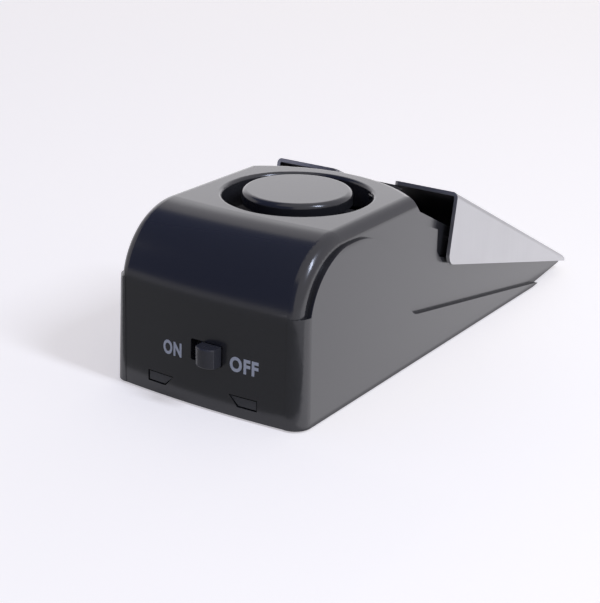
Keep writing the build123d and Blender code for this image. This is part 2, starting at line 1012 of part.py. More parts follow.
with BuildPart() as battery_terminals:
    with BuildSketch(front_plane(terminals_end)):
        with Locations((terminal_spacing / 2, up(battery_middle))):
            Circle(terminal_radius)
        with Locations((-terminal_spacing / 2, up(battery_middle))):
            RegularPolygon(terminal_socket_radius, 6)
            Circle(terminal_socket_radius - terminal_socket_wall, mode=Mode.SUBTRACT)
    extrude(amount=terminal_height)
battery_terminals.part.label = "battery_terminals"
export_step(battery_terminals.part, "parts/battery_terminals.step")

with BuildPart() as battery_snap:
    snap_front = terminals_end + terminal_gap
    with BuildSketch(front_plane(snap_front + snap_thickness)):
        with Locations((0, up(battery_middle))):
            RectangleRounded(snap_width, snap_height, snap_corner_radius)
    extrude(amount=snap_thickness)
    with BuildSketch(front_plane(snap_front)):
        with Locations((terminal_spacing / 2, up(battery_middle))):
            Circle(terminal_socket_radius)
            Circle(terminal_radius + terminal_gap, mode=Mode.SUBTRACT)
        with Locations((-terminal_spacing / 2, up(battery_middle))):
            Circle(terminal_radius)
    extrude(amount=terminal_height)
battery_snap.part.label = "battery_snap"
export_step(battery_snap.part, "parts/battery_snap.step")

# Siren: the cap in the recess, and the sounder under the recess floor
with BuildPart() as siren_cap:
    with Locations((0, siren_y, up(cap_top_height - cap_thickness))):
        Cylinder(cap_radius, cap_thickness, align=(Align.CENTER, Align.CENTER, Align.MIN))
    fillet(siren_cap.edges().sort_by(Axis.Z)[-1], radius=cap_edge_radius)
    with Locations((0, siren_y, up(cap_top_height - cap_thickness))):
        Cylinder(
            cap_radius - cap_wall,
            cap_skirt,
            align=(Align.CENTER, Align.CENTER, Align.MIN),
            mode=Mode.SUBTRACT,
        )
    # Ribs that stand on the recess floor, and clips that reach through the outlet
    cap_roof = cap_top_height - cap_thickness + cap_skirt
    with BuildSketch(Plane.XY.offset(up(recess_floor_height))):
        with Locations((0, siren_y)):
            with PolarLocations(cap_rib_inner, cap_rib_count):
                Rectangle(
                    cap_rib_reach - cap_rib_inner,
                    cap_rib_width,
                    align=(Align.MIN, Align.CENTER),
                )
    extrude(amount=cap_roof - recess_floor_height)
    clip_turn = 180 / cap_rib_count
    clip_outer = math.sqrt((outlet_radius - cap_clip_gap) ** 2 - (cap_clip_width / 2) ** 2)
    clip_foot = recess_under - cap_clip_gap - cap_clip_barb
    with BuildSketch(Plane.XY.offset(up(clip_foot))):
        with Locations((0, siren_y)):
            with PolarLocations(clip_outer, cap_rib_count, start_angle=clip_turn):
                Rectangle(cap_clip_thickness, cap_clip_width, align=(Align.MAX, Align.CENTER))
    extrude(amount=cap_roof - clip_foot)
    with BuildSketch(Plane.XY.offset(up(clip_foot))):
        with Locations((0, siren_y)):
            with PolarLocations(clip_outer, cap_rib_count, start_angle=clip_turn):
                Rectangle(
                    cap_clip_barb + cap_clip_thickness,
                    cap_clip_width,
                    align=(Align.CENTER, Align.CENTER),
                )
    extrude(amount=cap_clip_barb)
siren_cap.part.label = "siren_cap"
export_step(siren_cap.part, "parts/siren_cap.step")

with BuildPart() as siren_gasket:
    with BuildSketch(Plane.XY.offset(up(chamber_top))):
        with Locations((0, siren_y)):
            Circle(chamber_radius)
            Circle(gasket_inner_radius, mode=Mode.SUBTRACT)
    extrude(amount=gasket_thickness)
siren_gasket.part.label = "siren_gasket"
export_step(siren_gasket.part, "parts/siren_gasket.step")

chamber_low = chamber_top - chamber_height
piezo_seat = chamber_top - piezo_depth
with BuildPart() as siren_chamber:
    with BuildSketch(Plane.XY.offset(up(chamber_low))):
        with Locations((0, siren_y)):
            Circle(chamber_radius)
    extrude(amount=chamber_height)
    # Ears with a screw hole each
    with BuildSketch(Plane.XY.offset(up(siren_ear_top))):
        with Locations((0, siren_y)):
            SlotCenterToCenter(
                2 * siren_ear_reach, 2 * siren_ear_radius, rotation=siren_ear_angle
            )
    extrude(amount=-siren_ear_thickness)
    with Locations((0, siren_y, up(chamber_low))):
        Cylinder(
            chamber_radius - chamber_wall,
            piezo_seat - chamber_low,
            align=(Align.CENTER, Align.CENTER, Align.MIN),
            mode=Mode.SUBTRACT,
        )
        Cylinder(
            piezo_seat_radius,
            chamber_height - chamber_wall,
            align=(Align.CENTER, Align.CENTER, Align.MIN),
            mode=Mode.SUBTRACT,
        )
        Cylinder(
            chamber_port_radius,
            chamber_height,
            align=(Align.CENTER, Align.CENTER, Align.MIN),
            mode=Mode.SUBTRACT,
        )
    with Locations(*[(x, y, up(siren_ear_top)) for x, y in siren_ears]):
        Cylinder(screw_hole_radius, siren_ear_thickness * 3, mode=Mode.SUBTRACT)
siren_chamber.part.label = "siren_chamber"
export_step(siren_chamber.part, "parts/siren_chamber.step")


def flat_ring(outer, inner, low, high):
    """A disc or ring of the siren, between two heights."""
    with BuildPart() as ring:
        with BuildSketch(Plane.XY.offset(up(low))):
            with Locations((0, siren_y)):
                Circle(outer)
                if inner > 0:
                    Circle(inner, mode=Mode.SUBTRACT)
        extrude(amount=high - low)
    return ring.part


piezo_low = piezo_seat - piezo_thickness
piezo_plate = flat_ring(piezo_radius, 0, piezo_low, piezo_seat)
piezo_plate.label = "piezo_plate"
export_step(piezo_plate, "parts/piezo_plate.step")

piezo_ceramic = flat_ring(ceramic_radius, 0, piezo_low - ceramic_thickness, piezo_low)
piezo_ceramic.label = "piezo_ceramic"
export_step(piezo_ceramic, "parts/piezo_ceramic.step")

siren_retainer = flat_ring(
    chamber_radius - chamber_wall - seat_gap / 2, retainer_inner_radius, chamber_low, piezo_low
)
siren_retainer.label = "siren_retainer"
export_step(siren_retainer, "parts/siren_retainer.step")


def screw(radius, head_radius, head_height, length):
    """A pan-head screw standing on its tip side up: shank above, head below the origin."""
    with BuildPart() as body:
        Cylinder(radius, length, align=(Align.CENTER, Align.CENTER, Align.MIN))
        Cylinder(head_radius, head_height, align=(Align.CENTER, Align.CENTER, Align.MAX))
        foot = body.edges().filter_by(GeomType.CIRCLE).sort_by(Axis.Z)[0]
        fillet(foot, radius=head_height / 2)
    return body.part


def screws(label, places, radius, head_radius, head_height, length):
    """A set of alike screws, each a solid of its own."""
    body = screw(radius, head_radius, head_height, length)
    group = Compound([place * body for place in places], label=label)
    export_step(group, "parts/" + label + ".step")


screws(
    "siren_screws",
    [Pos(x, y, up(siren_ear_top - siren_ear_thickness)) for x, y in siren_ears],
    screw_radius,
    screw_head_radius,
    screw_head_height,
    short_screw_length,
)
screws(
    "base_screws",
    [Pos(x, y, up(screw_head_height + screw_head_gap)) for x, y in base_screws_at],
    screw_radius,
    screw_head_radius,
    screw_head_height,
    screw_length,
)
switch_board_rear = switch_back + switch_board_thickness
screws(
    "switch_screws",
    [Pos(x, at(switch_board_rear), up(switch_height)) * Rot(90, 0, 0) for x in switch_screws_at],
    screw_radius,
    screw_head_radius,
    screw_head_height,
    short_screw_length - screw_bore_gap,
)
board_top = board_height + board_thickness
screws(
    "board_screws",
    [Pos(x, y, up(board_top)) * Rot(180, 0, 0) for x, y in board_screws_at],
    board_screw_radius,
    board_screw_head_radius,
    board_screw_head_height,
    board_thickness + board_screw_bite,
)

# Slide switch
with BuildPart() as switch_knob:
    knob_x = switch_x + switch_slot_width / 2 - knob_gap - knob_width / 2
    knob_tip = face_bulge + knob_proud
    with BuildSketch(Plane.XY.offset(up(switch_height - knob_height / 2))):
        with BuildLine():
            left = knob_x - knob_width / 2
            right = knob_x + knob_width / 2
            shoulder = at(knob_face_sag - knob_tip)
            ThreePointArc((left, shoulder), (knob_x, at(-knob_tip)), (right, shoulder))
            Polyline(
                (right, shoulder), (right, at(inner_shoulder)), (left, at(inner_shoulder)), (left, shoulder)
            )
        make_face()
    extrude(amount=knob_height)
    front_edges = [edge for edge in switch_knob.edges() if edge.center().Y < at(-knob_tip / 2)]
    fillet(front_edges, radius=knob_edge_radius)
    # Shank that carries the wiper inside the switch body
    with BuildSketch(front_plane(switch_front + knob_shank_depth)):
        with Locations((knob_x, up(switch_height))):
            Rectangle(knob_shank_width, knob_shank_height)
    extrude(amount=knob_shank_depth + switch_body_gap + wall)
switch_knob.part.label = "switch_knob"
export_step(switch_knob.part, "parts/switch_knob.step")

switch_travel = switch_slot_width - knob_width - 2 * knob_gap
with BuildPart() as switch_body:
    with BuildSketch(front_plane(switch_back)):
        with Locations((switch_x, up(switch_height))):
            Rectangle(switch_body_width, switch_body_height)
    extrude(amount=switch_body_depth)
    with BuildSketch(front_plane(switch_front)):
        with Locations((switch_x, up(switch_height))):
            Rectangle(
                knob_shank_width + switch_travel + 2 * knob_shank_gap,
                knob_shank_height + 2 * knob_shank_gap,
            )
    extrude(amount=-knob_shank_depth - knob_shank_gap, mode=Mode.SUBTRACT)
switch_body.part.label = "switch_body"
export_step(switch_body.part, "parts/switch_body.step")

switch_pins_at = [switch_x + step * switch_pin_pitch for step in (-1, 0, 1)]
with BuildPart() as switch_board:
    with BuildSketch(front_plane(switch_board_rear)):
        with Locations((switch_x, up(switch_height))):
            Rectangle(switch_board_width, switch_board_height)
        with Locations(*[(x, up(switch_height)) for x in switch_screws_at]):
            Circle(screw_hole_radius, mode=Mode.SUBTRACT)
        with Locations(*[(x, up(switch_height)) for x in switch_pins_at]):
            Circle(switch_pin_radius + screw_bore_gap, mode=Mode.SUBTRACT)
    extrude(amount=switch_board_thickness)
switch_board.part.label = "switch_board"
export_step(switch_board.part, "parts/switch_board.step")

with BuildPart() as switch_pins:
    with BuildSketch(front_plane(switch_back + switch_pin_length)):
        with Locations(*[(x, up(switch_height)) for x in switch_pins_at]):
            Circle(switch_pin_radius)
    extrude(amount=switch_pin_length)
switch_pins.part.label = "switch_pins"
export_step(switch_pins.part, "parts/switch_pins.step")

# Pressure plate: one bent sheet, a ramp with a flange down each side, hinged near the tip
plate_half = plate_width / 2
plate_drop = plate_thickness / math.cos(math.radians(plate_angle))
inner_nose = plate_nose - plate_thickness
inner_rear = flange_heel - overrun


def plate_block(half):
    """The ramp's outline seen from the side, as a solid block of a given half width."""
    with BuildPart() as block:
        with BuildSketch(Plane.YZ) as outline:
            heel = side(flange_heel, flange_heel_height)
            nose_foot = side(plate_nose, plate_nose_height)
            nose_top = side(plate_nose, plate_face(plate_nose))
            with BuildLine():
                Polyline(
                    side(plate_rear, plate_rear_height), heel, nose_foot, nose_top, close=True
                )
            make_face()
            for corner, radius in ((heel, flange_corner_radius), (nose_top, plate_nose_radius)):
                fillet(outline.vertices().sort_by_distance(corner)[0], radius=radius)
        extrude(amount=half, both=True)
    return block.part


def ramp_bar(half, drop, radius):
    """A long bar under the ramp's face with its two upper edges rounded, to fold the sheet over."""
    down = Plane(
        origin=(0, *side(plate_nose, plate_face(plate_nose) - drop)),
        x_dir=(1, 0, 0),
        z_dir=(0, -math.cos(math.radians(plate_angle)), math.sin(math.radians(plate_angle))),
    )
    with BuildPart() as bar:
        with BuildSketch(down) as section:
            Rectangle(2 * half, plate_rear_height, align=(Align.CENTER, Align.MAX))
            fillet(section.vertices().group_by(Axis.Y)[-1], radius=radius)
        extrude(amount=2 * (plate_nose - plate_rear))
        extrude(section.sketch, amount=-overrun)
    return bar.part


with BuildPart() as plate_inside:
    with BuildSketch(Plane.YZ):
        with BuildLine():
            FilletPolyline(
                side(inner_rear, plate_face(inner_rear) - plate_drop),
                side(inner_nose, plate_face(inner_nose) - plate_drop),
                side(inner_nose, -overrun),
                radius=plate_nose_radius - plate_thickness,
            )
            Polyline(
                side(inner_nose, -overrun),
                side(inner_rear, -overrun),
                side(inner_rear, plate_face(inner_rear) - plate_drop),
            )
        make_face()
    extrude(amount=plate_half, both=True)

# The two folds run down the ramp, and are trimmed to its outline
with BuildPart() as plate_channel:
    add(plate_block(plate_half))
    add(ramp_bar(plate_half, 0, plate_fold_radius), mode=Mode.INTERSECT)
    add(
        ramp_bar(plate_half - plate_thickness, plate_drop, plate_fold_radius - plate_thickness),
        mode=Mode.SUBTRACT,
    )

with BuildPart() as pressure_plate:
    add(plate_block(plate_half - plate_fold_radius))
    add(plate_inside.part, mode=Mode.SUBTRACT)
    add(plate_channel.part)
    # Notch in the rear edge, between two tabs
    with BuildSketch(Plane.XY):
        with Locations((0, at(plate_rear + plate_notch_depth))):
            RectangleRounded(
                2 * plate_notch_half_width,
                2 * plate_notch_depth,
                plate_notch_radius,
                align=(Align.CENTER, Align.MAX),
            )
    extrude(amount=above, mode=Mode.SUBTRACT)
    tab_corners = [
        edge
        for edge in pressure_plate.edges()
        if abs(abs(edge.center().X) - plate_notch_half_width) < seat_gap
        and abs(edge.center().Y - at(plate_rear)) < plate_thickness
        and edge.length < 2 * plate_thickness
    ]
    fillet(tab_corners, radius=plate_tab_radius)
    # Ears bent in from the flanges, which stop the plate at the top of its travel
    for way in (-1, 1):
        with Locations((way * (plate_half - plate_thickness / 2), at(ear_place), up(ear_height))):
            Box(
                ear_reach + plate_thickness / 2,
                ear_length,
                plate_thickness,
                align=(Align.MIN if way < 0 else Align.MAX, Align.CENTER, Align.CENTER),
            )
    # Knuckles under the ramp, round the hinge pin
    hinge_offset = (plate_face(hinge_place) - hinge_height) * math.cos(
        math.radians(plate_angle)
    ) - plate_thickness
    for x in (-knuckle_x, knuckle_x):
        with BuildSketch(Plane.YZ.offset(x)):
            with Locations(side(hinge_place, hinge_height)):
                Circle(knuckle_radius)
                Rectangle(
                    knuckle_web,
                    hinge_offset + plate_thickness / 2,
                    rotation=-plate_angle,
                    align=(Align.CENTER, Align.MIN),
                )
                Circle(hinge_pin_radius + hinge_bore_gap, mode=Mode.SUBTRACT)
        extrude(amount=knuckle_width / 2, both=True)
pressure_plate.part.label = "pressure_plate"
export_step(pressure_plate.part, "parts/pressure_plate.step")

with BuildPart() as hinge_pin:
    with BuildSketch(Plane.YZ):
        with Locations(side(hinge_place, hinge_height)):
            Circle(hinge_pin_radius)
    extrude(amount=hinge_pin_half_length, both=True)
    chamfer(hinge_pin.edges().filter_by(GeomType.CIRCLE), length=hinge_pin_radius / 4)
hinge_pin.part.label = "hinge_pin"
export_step(hinge_pin.part, "parts/hinge_pin.step")


def dome_centre(pressed):
    """Height of the plunger's dome centre when the plate is pressed by an angle in degrees."""
    tilt = math.radians(plate_angle - pressed)
    reach = (hinge_place - plunger_place) * math.sin(tilt)
    rise = hinge_offset - plunger_dome_radius - plunger_dome_gap + reach
    return hinge_height + rise / math.cos(tilt)


# Trigger plunger: a domed head, and a stem through the well floor
dome_rest = dome_centre(0)
plunger_drop = dome_rest - dome_centre(plate_travel)
head_under = dome_rest - plunger_head_height
print("plunger", dome_rest, "drop", plunger_drop, "per rad", plunger_drop / math.radians(plate_travel))
with BuildPart() as trigger_plunger:
    with BuildSketch(front_plane(plunger_place)):
        with BuildLine():
            lean_share = math.sqrt(0.5)
            ThreePointArc(
                (0, up(dome_rest + plunger_dome_radius)),
                (
                    plunger_dome_radius * lean_share,
                    up(dome_rest + plunger_dome_radius * lean_share),
                ),
                (plunger_dome_radius, up(dome_rest)),
            )
            Polyline(
                (plunger_dome_radius, up(dome_rest)),
                (plunger_dome_radius, up(head_under)),
                (stem_radius, up(head_under)),
                (stem_radius, up(nib_height + stem_radius - nib_radius)),
                (nib_radius, up(nib_height)),
                (0, up(nib_height)),
                (0, up(dome_rest + plunger_dome_radius)),
            )
        make_face()
    revolve(axis=Axis((0, at(plunger_place), 0), (0, 0, 1)))
trigger_plunger.part.label = "trigger_plunger"
export_step(trigger_plunger.part, "parts/trigger_plunger.step")

# Return spring between the well floor and the plunger's head
spring_low = well_floor_height + spring_seat_gap + spring_wire_radius
spring_high = head_under - spring_seat_gap - spring_wire_radius
spring_pitch = (spring_high - spring_low) / spring_turns
spring_quarters = 4 * spring_turns


def spring_point(quarter):
    turn = math.pi / 2 * quarter
    return Vector(
        spring_radius * math.cos(turn),
        at(plunger_place) + spring_radius * math.sin(turn),
        up(spring_low + spring_pitch * turn / (2 * math.pi)),
    )


with BuildPart() as return_spring:
    with BuildLine() as spring_path:
        heading = Vector(0, 2 * math.pi * spring_radius, spring_pitch)
        for quarter in range(spring_quarters):
            arc = TangentArc(spring_point(quarter), spring_point(quarter + 1), tangent=heading)
            heading = arc % 1
    spring_line = spring_path.wire()
    with BuildSketch(Plane(origin=spring_line @ 0, z_dir=spring_line % 0)):
        Circle(spring_wire_radius)
    sweep(path=spring_line)
return_spring.part.label = "return_spring"
export_step(return_spring.part, "parts/return_spring.step")
samples = [spring_line @ (n / (8 * spring_quarters)) for n in range(8 * spring_quarters + 1)]
spring_gap = min(
    (a - b).length for i, a in enumerate(samples) for b in samples[i + 16 :]
) - 2 * spring_wire_radius
wire_volume = math.pi * spring_wire_radius**2 * spring_line.length
print("spring least gap", spring_gap, "volume share", return_spring.part.volume / wire_volume)

# Trigger contact: a leaf under the plunger, its bracket, and a stud on the board
leaf_top = nib_height - leaf_drop
leaf_pivot_height = leaf_top - leaf_thickness / 2
leaf_length = leaf_end_x - leaf_root_x
leaf_swing = math.degrees(math.atan(plunger_drop / -leaf_root_x))
stud_top = (
    leaf_pivot_height
    - leaf_length * math.sin(math.radians(leaf_swing))
    - leaf_thickness / 2
    - stud_gap
)
print("leaf swing", leaf_swing, "ratio", leaf_swing / plate_travel)
with BuildPart() as contact_leaf:
    with BuildSketch(Plane.XY.offset(up(leaf_top))):
        with Locations((leaf_root_x, at(plunger_place))):
            Rectangle(leaf_length, leaf_width, align=(Align.MIN, Align.CENTER))
    extrude(amount=-leaf_thickness)
    tip_edges = contact_leaf.edges().filter_by(Axis.Z).group_by(Axis.X)[-1]
    fillet(tip_edges, radius=leaf_width / 4)
contact_leaf.part.label = "contact_leaf"
export_step(contact_leaf.part, "parts/contact_leaf.step")

with BuildPart() as leaf_bracket:
    bracket_x = leaf_root_x - leaf_gap - bracket_thickness
    with BuildSketch(front_plane(plunger_place)):
        with BuildLine():
            Polyline(
                (bracket_x, up(board_top)),
                (bracket_x, up(leaf_top + bracket_rise)),
                (bracket_x + bracket_thickness, up(leaf_top + bracket_rise)),
                (bracket_x + bracket_thickness, up(board_top + bracket_thickness)),
                (bracket_x + bracket_foot, up(board_top + bracket_thickness)),
                (bracket_x + bracket_foot, up(board_top)),
                close=True,
            )
        make_face()
    extrude(amount=leaf_width / 2, both=True)
leaf_bracket.part.label = "leaf_bracket"
export_step(leaf_bracket.part, "parts/leaf_bracket.step")

with BuildPart() as contact_stud:
    with Locations((stud_x, at(plunger_place), up(board_top))):
        Cylinder(stud_radius, stud_top - board_top, align=(Align.CENTER, Align.CENTER, Align.MIN))
    fillet(contact_stud.edges().sort_by(Axis.Z)[-1], radius=stud_radius / 4)
contact_stud.part.label = "contact_stud"
export_step(contact_stud.part, "parts/contact_stud.step")

# Circuit board
with BuildPart() as circuit_board:
    with BuildSketch(Plane.XY.offset(up(board_height))):
        with Locations((0, at((board_start + board_end) / 2))):
            RectangleRounded(
                2 * board_half_width, board_end - board_start, board_thickness
            )
        with Locations(*board_screws_at):
            Circle(board_screw_radius + board_hole_gap, mode=Mode.SUBTRACT)
    extrude(amount=board_thickness)
circuit_board.part.label = "circuit_board"
export_step(circuit_board.part, "parts/circuit_board.step")

with BuildPart() as sounder_chip:
    with Locations((chip_x, at(chip_place), up(board_top))):
        Box(chip_length, chip_width, chip_height, align=(Align.CENTER, Align.CENTER, Align.MIN))
        with GridLocations(chip_lead_pitch, 0, chip_lead_count, 1):
            Box(
                chip_lead_width,
                chip_width + 2 * chip_lead_reach,
                chip_lead_thickness,
                align=(Align.CENTER, Align.CENTER, Align.MIN),
            )
sounder_chip.part.label = "sounder_chip"
export_step(sounder_chip.part, "parts/sounder_chip.step")

with BuildPart() as step_up_coil:
    with BuildSketch(front_plane(coil_place)):
        with BuildLine():
            waist = coil_radius - coil_flange
            low = up(board_top)
            high = up(board_top + coil_height)
            Polyline(
                (coil_x, low),
                (coil_x + coil_radius, low),
                (coil_x + coil_radius, low + coil_flange_height),
                (coil_x + waist, low + coil_flange_height),
                (coil_x + waist, high - coil_flange_height),
                (coil_x + coil_radius, high - coil_flange_height),
                (coil_x + coil_radius, high),
                (coil_x, high),
                close=True,
            )
        make_face()
    revolve(axis=Axis((coil_x, at(coil_place), 0), (0, 0, 1)))
step_up_coil.part.label = "step_up_coil"
export_step(step_up_coil.part, "parts/step_up_coil.step")

with BuildPart() as transistor:
    with BuildSketch(Plane.XY.offset(up(board_top + transistor_lift))):
        with Locations((transistor_x, at(transistor_place))):
            Circle(transistor_radius)
            with Locations((0, transistor_flat)):
                Rectangle(
                    2 * transistor_radius,
                    transistor_radius,
                    align=(Align.CENTER, Align.MIN),
                    mode=Mode.SUBTRACT,
                )
    extrude(amount=transistor_height)
    with BuildSketch(Plane.XY.offset(up(board_top))):
        with Locations((transistor_x, at(transistor_place))):
            with GridLocations(lead_pin_pitch, 0, 3, 1):
                Circle(lead_pin_radius)
    extrude(amount=transistor_lift + transistor_height / 2)
transistor.part.label = "transistor"
export_step(transistor.part, "parts/transistor.step")


def leaded(centre_x, place, radius, length, centre_height, leads):
    """A round component lying on the board, with leads that turn down into it."""
    with BuildPart() as component:
        with Locations(Location((centre_x, at(place), up(centre_height)), (0, 90, 0))):
            Cylinder(radius, length)
        for way, offset, reach in leads:
            turn_x = centre_x + way * (length / 2 + reach)
            with BuildLine() as route:
                FilletPolyline(
                    (centre_x, at(place + offset), up(centre_height)),
                    (turn_x, at(place + offset), up(centre_height)),
                    (turn_x, at(place + offset), up(board_top)),
                    radius=lead_bend,
                )
            lead_line = route.wire()
            with BuildSketch(Plane(origin=lead_line @ 0, z_dir=lead_line % 0)):
                Circle(lead_pin_radius)
            sweep(path=lead_line)
    return component.part


capacitor = leaded(
    capacitor_x,
    capacitor_place,
    capacitor_radius,
    capacitor_length,
    board_top + capacitor_radius,
    [(1, way * lead_pin_pitch / 2, capacitor_lead_reach) for way in (-1, 1)],
)
capacitor.label = "capacitor"
export_step(capacitor, "parts/capacitor.step")

resistor_parts = [
    leaded(
        resistor_x,
        resistor_place + resistor_pitch * n,
        resistor_radius,
        resistor_length,
        board_top + resistor_lift + resistor_radius,
        [(way, 0, resistor_lead_reach) for way in (-1, 1)],
    )
    for n in range(resistor_count)
]
resistors = Compound(resistor_parts, label="resistors")
export_step(resistors, "parts/resistors.step")


def wires(label, routes, bends):
    """Inner wires: each one a tube along straight runs joined by arcs."""
    tubes = []
    for route in routes:
        with BuildPart() as tube:
            with BuildLine() as path:
                FilletPolyline(*route, radius=bends)
            line = path.wire()
            with BuildSketch(Plane(origin=line @ 0, z_dir=line % 0)):
                Circle(wire_radius)
            sweep(path=line)
        tubes.append(tube.part)
        expected = math.pi * wire_radius**2 * line.length
        print(label, "bend radii", bends, "volume share", tube.part.volume / expected)
    group = Compound(tubes, label=label)
    export_step(group, "parts/" + label + ".step")


snap_rear = snap_front + snap_thickness
wires(
    "battery_leads",
    [
        [
            (x, at(snap_rear), up(battery_lead_height)),
            (x, at(battery_lead_end), up(battery_lead_height)),
            (x, at(battery_lead_end), up(board_top)),
        ]
        for x in (battery_lead_x, battery_lead_x + battery_lead_pitch)
    ],
    [wire_bend],
)
switch_lead_place = switch_back + switch_board_thickness / 2
wires(
    "switch_leads",
    [
        [
            (x, at(switch_lead_place), up(switch_height + switch_board_height / 2)),
            (x, at(switch_lead_place), up(over_battery_height)),
            (x, at(over_battery_end), up(over_battery_height)),
            (x, at(switch_lead_end), up(switch_lead_knee_height)),
            (x, at(switch_lead_end), up(board_top)),
        ]
        for x in (switch_lead_x, switch_lead_x + wire_pair_pitch)
    ],
    [wire_exit_bend, wire_bend, wire_bend],
)
wires(
    "siren_leads",
    [
        [
            (x, at(siren_lead_place), up(start)),
            (x, at(siren_lead_place), up(over_battery_height)),
            (x, at(over_battery_end), up(over_battery_height)),
            (x, at(siren_lead_end), up(siren_lead_knee_height)),
            (x, at(siren_lead_end), up(board_top)),
        ]
        for x, start in (
            (siren_lead_x, piezo_low - ceramic_thickness),
            (siren_lead_x + siren_lead_pitch, piezo_low),
        )
    ],
    [wire_exit_bend, wire_bend, wire_bend],
)
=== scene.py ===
"""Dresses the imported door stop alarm: finishes, printed words, screws, spring, coil, and a studio stage."""

import math

import bmesh
import bpy
from bpy.props import FloatProperty, FloatVectorProperty, IntProperty, PointerProperty
from bpy.types import Operator, Panel, PropertyGroup
from mathutils import Matrix, Vector
from mathutils.bvhtree import BVHTree


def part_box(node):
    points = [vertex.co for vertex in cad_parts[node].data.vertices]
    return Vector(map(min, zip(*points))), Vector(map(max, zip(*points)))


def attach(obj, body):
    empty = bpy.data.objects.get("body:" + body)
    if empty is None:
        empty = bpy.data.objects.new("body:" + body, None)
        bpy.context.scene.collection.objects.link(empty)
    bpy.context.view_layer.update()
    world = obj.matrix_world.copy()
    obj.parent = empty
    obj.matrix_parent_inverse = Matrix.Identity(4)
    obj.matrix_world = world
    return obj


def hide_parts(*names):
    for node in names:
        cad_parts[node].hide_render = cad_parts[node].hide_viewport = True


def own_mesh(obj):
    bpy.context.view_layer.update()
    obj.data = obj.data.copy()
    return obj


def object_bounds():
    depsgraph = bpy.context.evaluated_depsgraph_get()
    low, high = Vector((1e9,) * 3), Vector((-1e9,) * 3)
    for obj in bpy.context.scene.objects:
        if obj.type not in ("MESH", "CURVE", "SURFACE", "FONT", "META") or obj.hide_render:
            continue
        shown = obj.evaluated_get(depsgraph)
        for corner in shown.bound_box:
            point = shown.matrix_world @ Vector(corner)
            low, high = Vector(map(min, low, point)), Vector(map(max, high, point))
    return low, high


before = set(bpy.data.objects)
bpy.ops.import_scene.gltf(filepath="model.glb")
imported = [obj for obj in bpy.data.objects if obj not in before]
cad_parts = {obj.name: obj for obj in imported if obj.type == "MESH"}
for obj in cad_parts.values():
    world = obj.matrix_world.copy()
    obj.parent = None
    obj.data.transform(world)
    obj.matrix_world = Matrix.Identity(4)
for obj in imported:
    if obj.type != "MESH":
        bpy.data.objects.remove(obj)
CAD_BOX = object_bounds()

bl_info = {
    "name": "Door stop alarm",
    "version": (1, 0, 0),
    "blender": (4, 5, 0),
    "location": "View3D > Sidebar > Door stop alarm",
    "description": "Finishes and fine pieces for a wedge-shaped door stop alarm",
    "category": "Object",
}

MM = 0.001
WELD = 0.0005 * MM  # corners of a new piece that are this close become one
SOLID_WELD = 0.001 * MM  # the same for the loose triangles of a CAD mesh
SHARP_FROM = math.radians(35)  # faces that meet at more than this keep a hard edge
SHARE, FIRST, SECOND, MIXED = 0, 6, 7, 2  # a Mix node's colour sockets, by number because their names repeat


def linear(hex_colour):
    """An sRGB hex colour as the linear values that shaders take, with full alpha."""
    parts = [int(hex_colour[i:i + 2], 16) / 255 for i in (1, 3, 5)]
    return tuple(c / 12.92 if c <= 0.04045 else ((c + 0.055) / 1.055) ** 2.4 for c in parts) + (1.0,)


def per(size_mm):
    """Texture scale at which one feature is this many millimetres long on coordinates in metres."""
    return 1 / (size_mm * MM)


def add(tree, kind, inputs=None, **settings):
    """One node in a tree, with its settings, each input set to a value or linked from another node's output."""
    made = tree.nodes.new(kind)
    for name, value in settings.items():
        setattr(made, name, value)
    for name, value in (inputs or {}).items():
        if isinstance(value, bpy.types.NodeSocket):
            tree.links.new(value, made.inputs[name])
        else:
            made.inputs[name].default_value = value
    return made


def material(name):
    """An empty node material, its tree, and the Object coordinates that its patterns lie on."""
    made = bpy.data.materials.new(name)
    made.use_nodes = True
    tree = made.node_tree
    tree.nodes.clear()
    return made, tree, add(tree, "ShaderNodeTexCoord").outputs["Object"]


def finished(made, tree, inputs):
    """Closes a material with one shader and its output."""
    skin = add(tree, "ShaderNodeBsdfPrincipled", inputs)
    add(tree, "ShaderNodeOutputMaterial", {"Surface": skin.outputs[0]})
    return made


def dress(node, *materials):
    """Gives a CAD node its finish."""
    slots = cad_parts[node].data.materials
    slots.clear()
    for each in materials:
        slots.append(each)


def moulded(name, colour, roughness, grain_mm, depth_mm, mottle=0.08, ior=1.54, bump=0.3, drift_mm=14.0):
    """A moulded plastic: one colour that drifts slowly, with the fine grain that its tool was eroded with."""
    made, tree, place = material(name)
    slow = add(tree, "ShaderNodeTexNoise", {"Vector": place, "Scale": per(drift_mm), "Detail": 2.0})
    tint = add(tree, "ShaderNodeMapRange", {
        "Value": slow.outputs["Fac"], "To Min": 1 - mottle, "To Max": 1 + mottle})
    base = add(tree, "ShaderNodeMix", {
        SHARE: 1.0, FIRST: tuple(colour), SECOND: tint.outputs["Result"]}, data_type="RGBA", blend_type="MULTIPLY")
    grain = add(tree, "ShaderNodeTexNoise", {"Vector": place, "Scale": per(grain_mm), "Detail": 3.0})
    relief = add(tree, "ShaderNodeBump", {
        "Height": grain.outputs["Fac"], "Strength": bump, "Distance": depth_mm * MM})
    return finished(made, tree, {
        "Base Color": base.outputs[MIXED], "Roughness": roughness,
        "Normal": relief.outputs["Normal"], "IOR": ior})


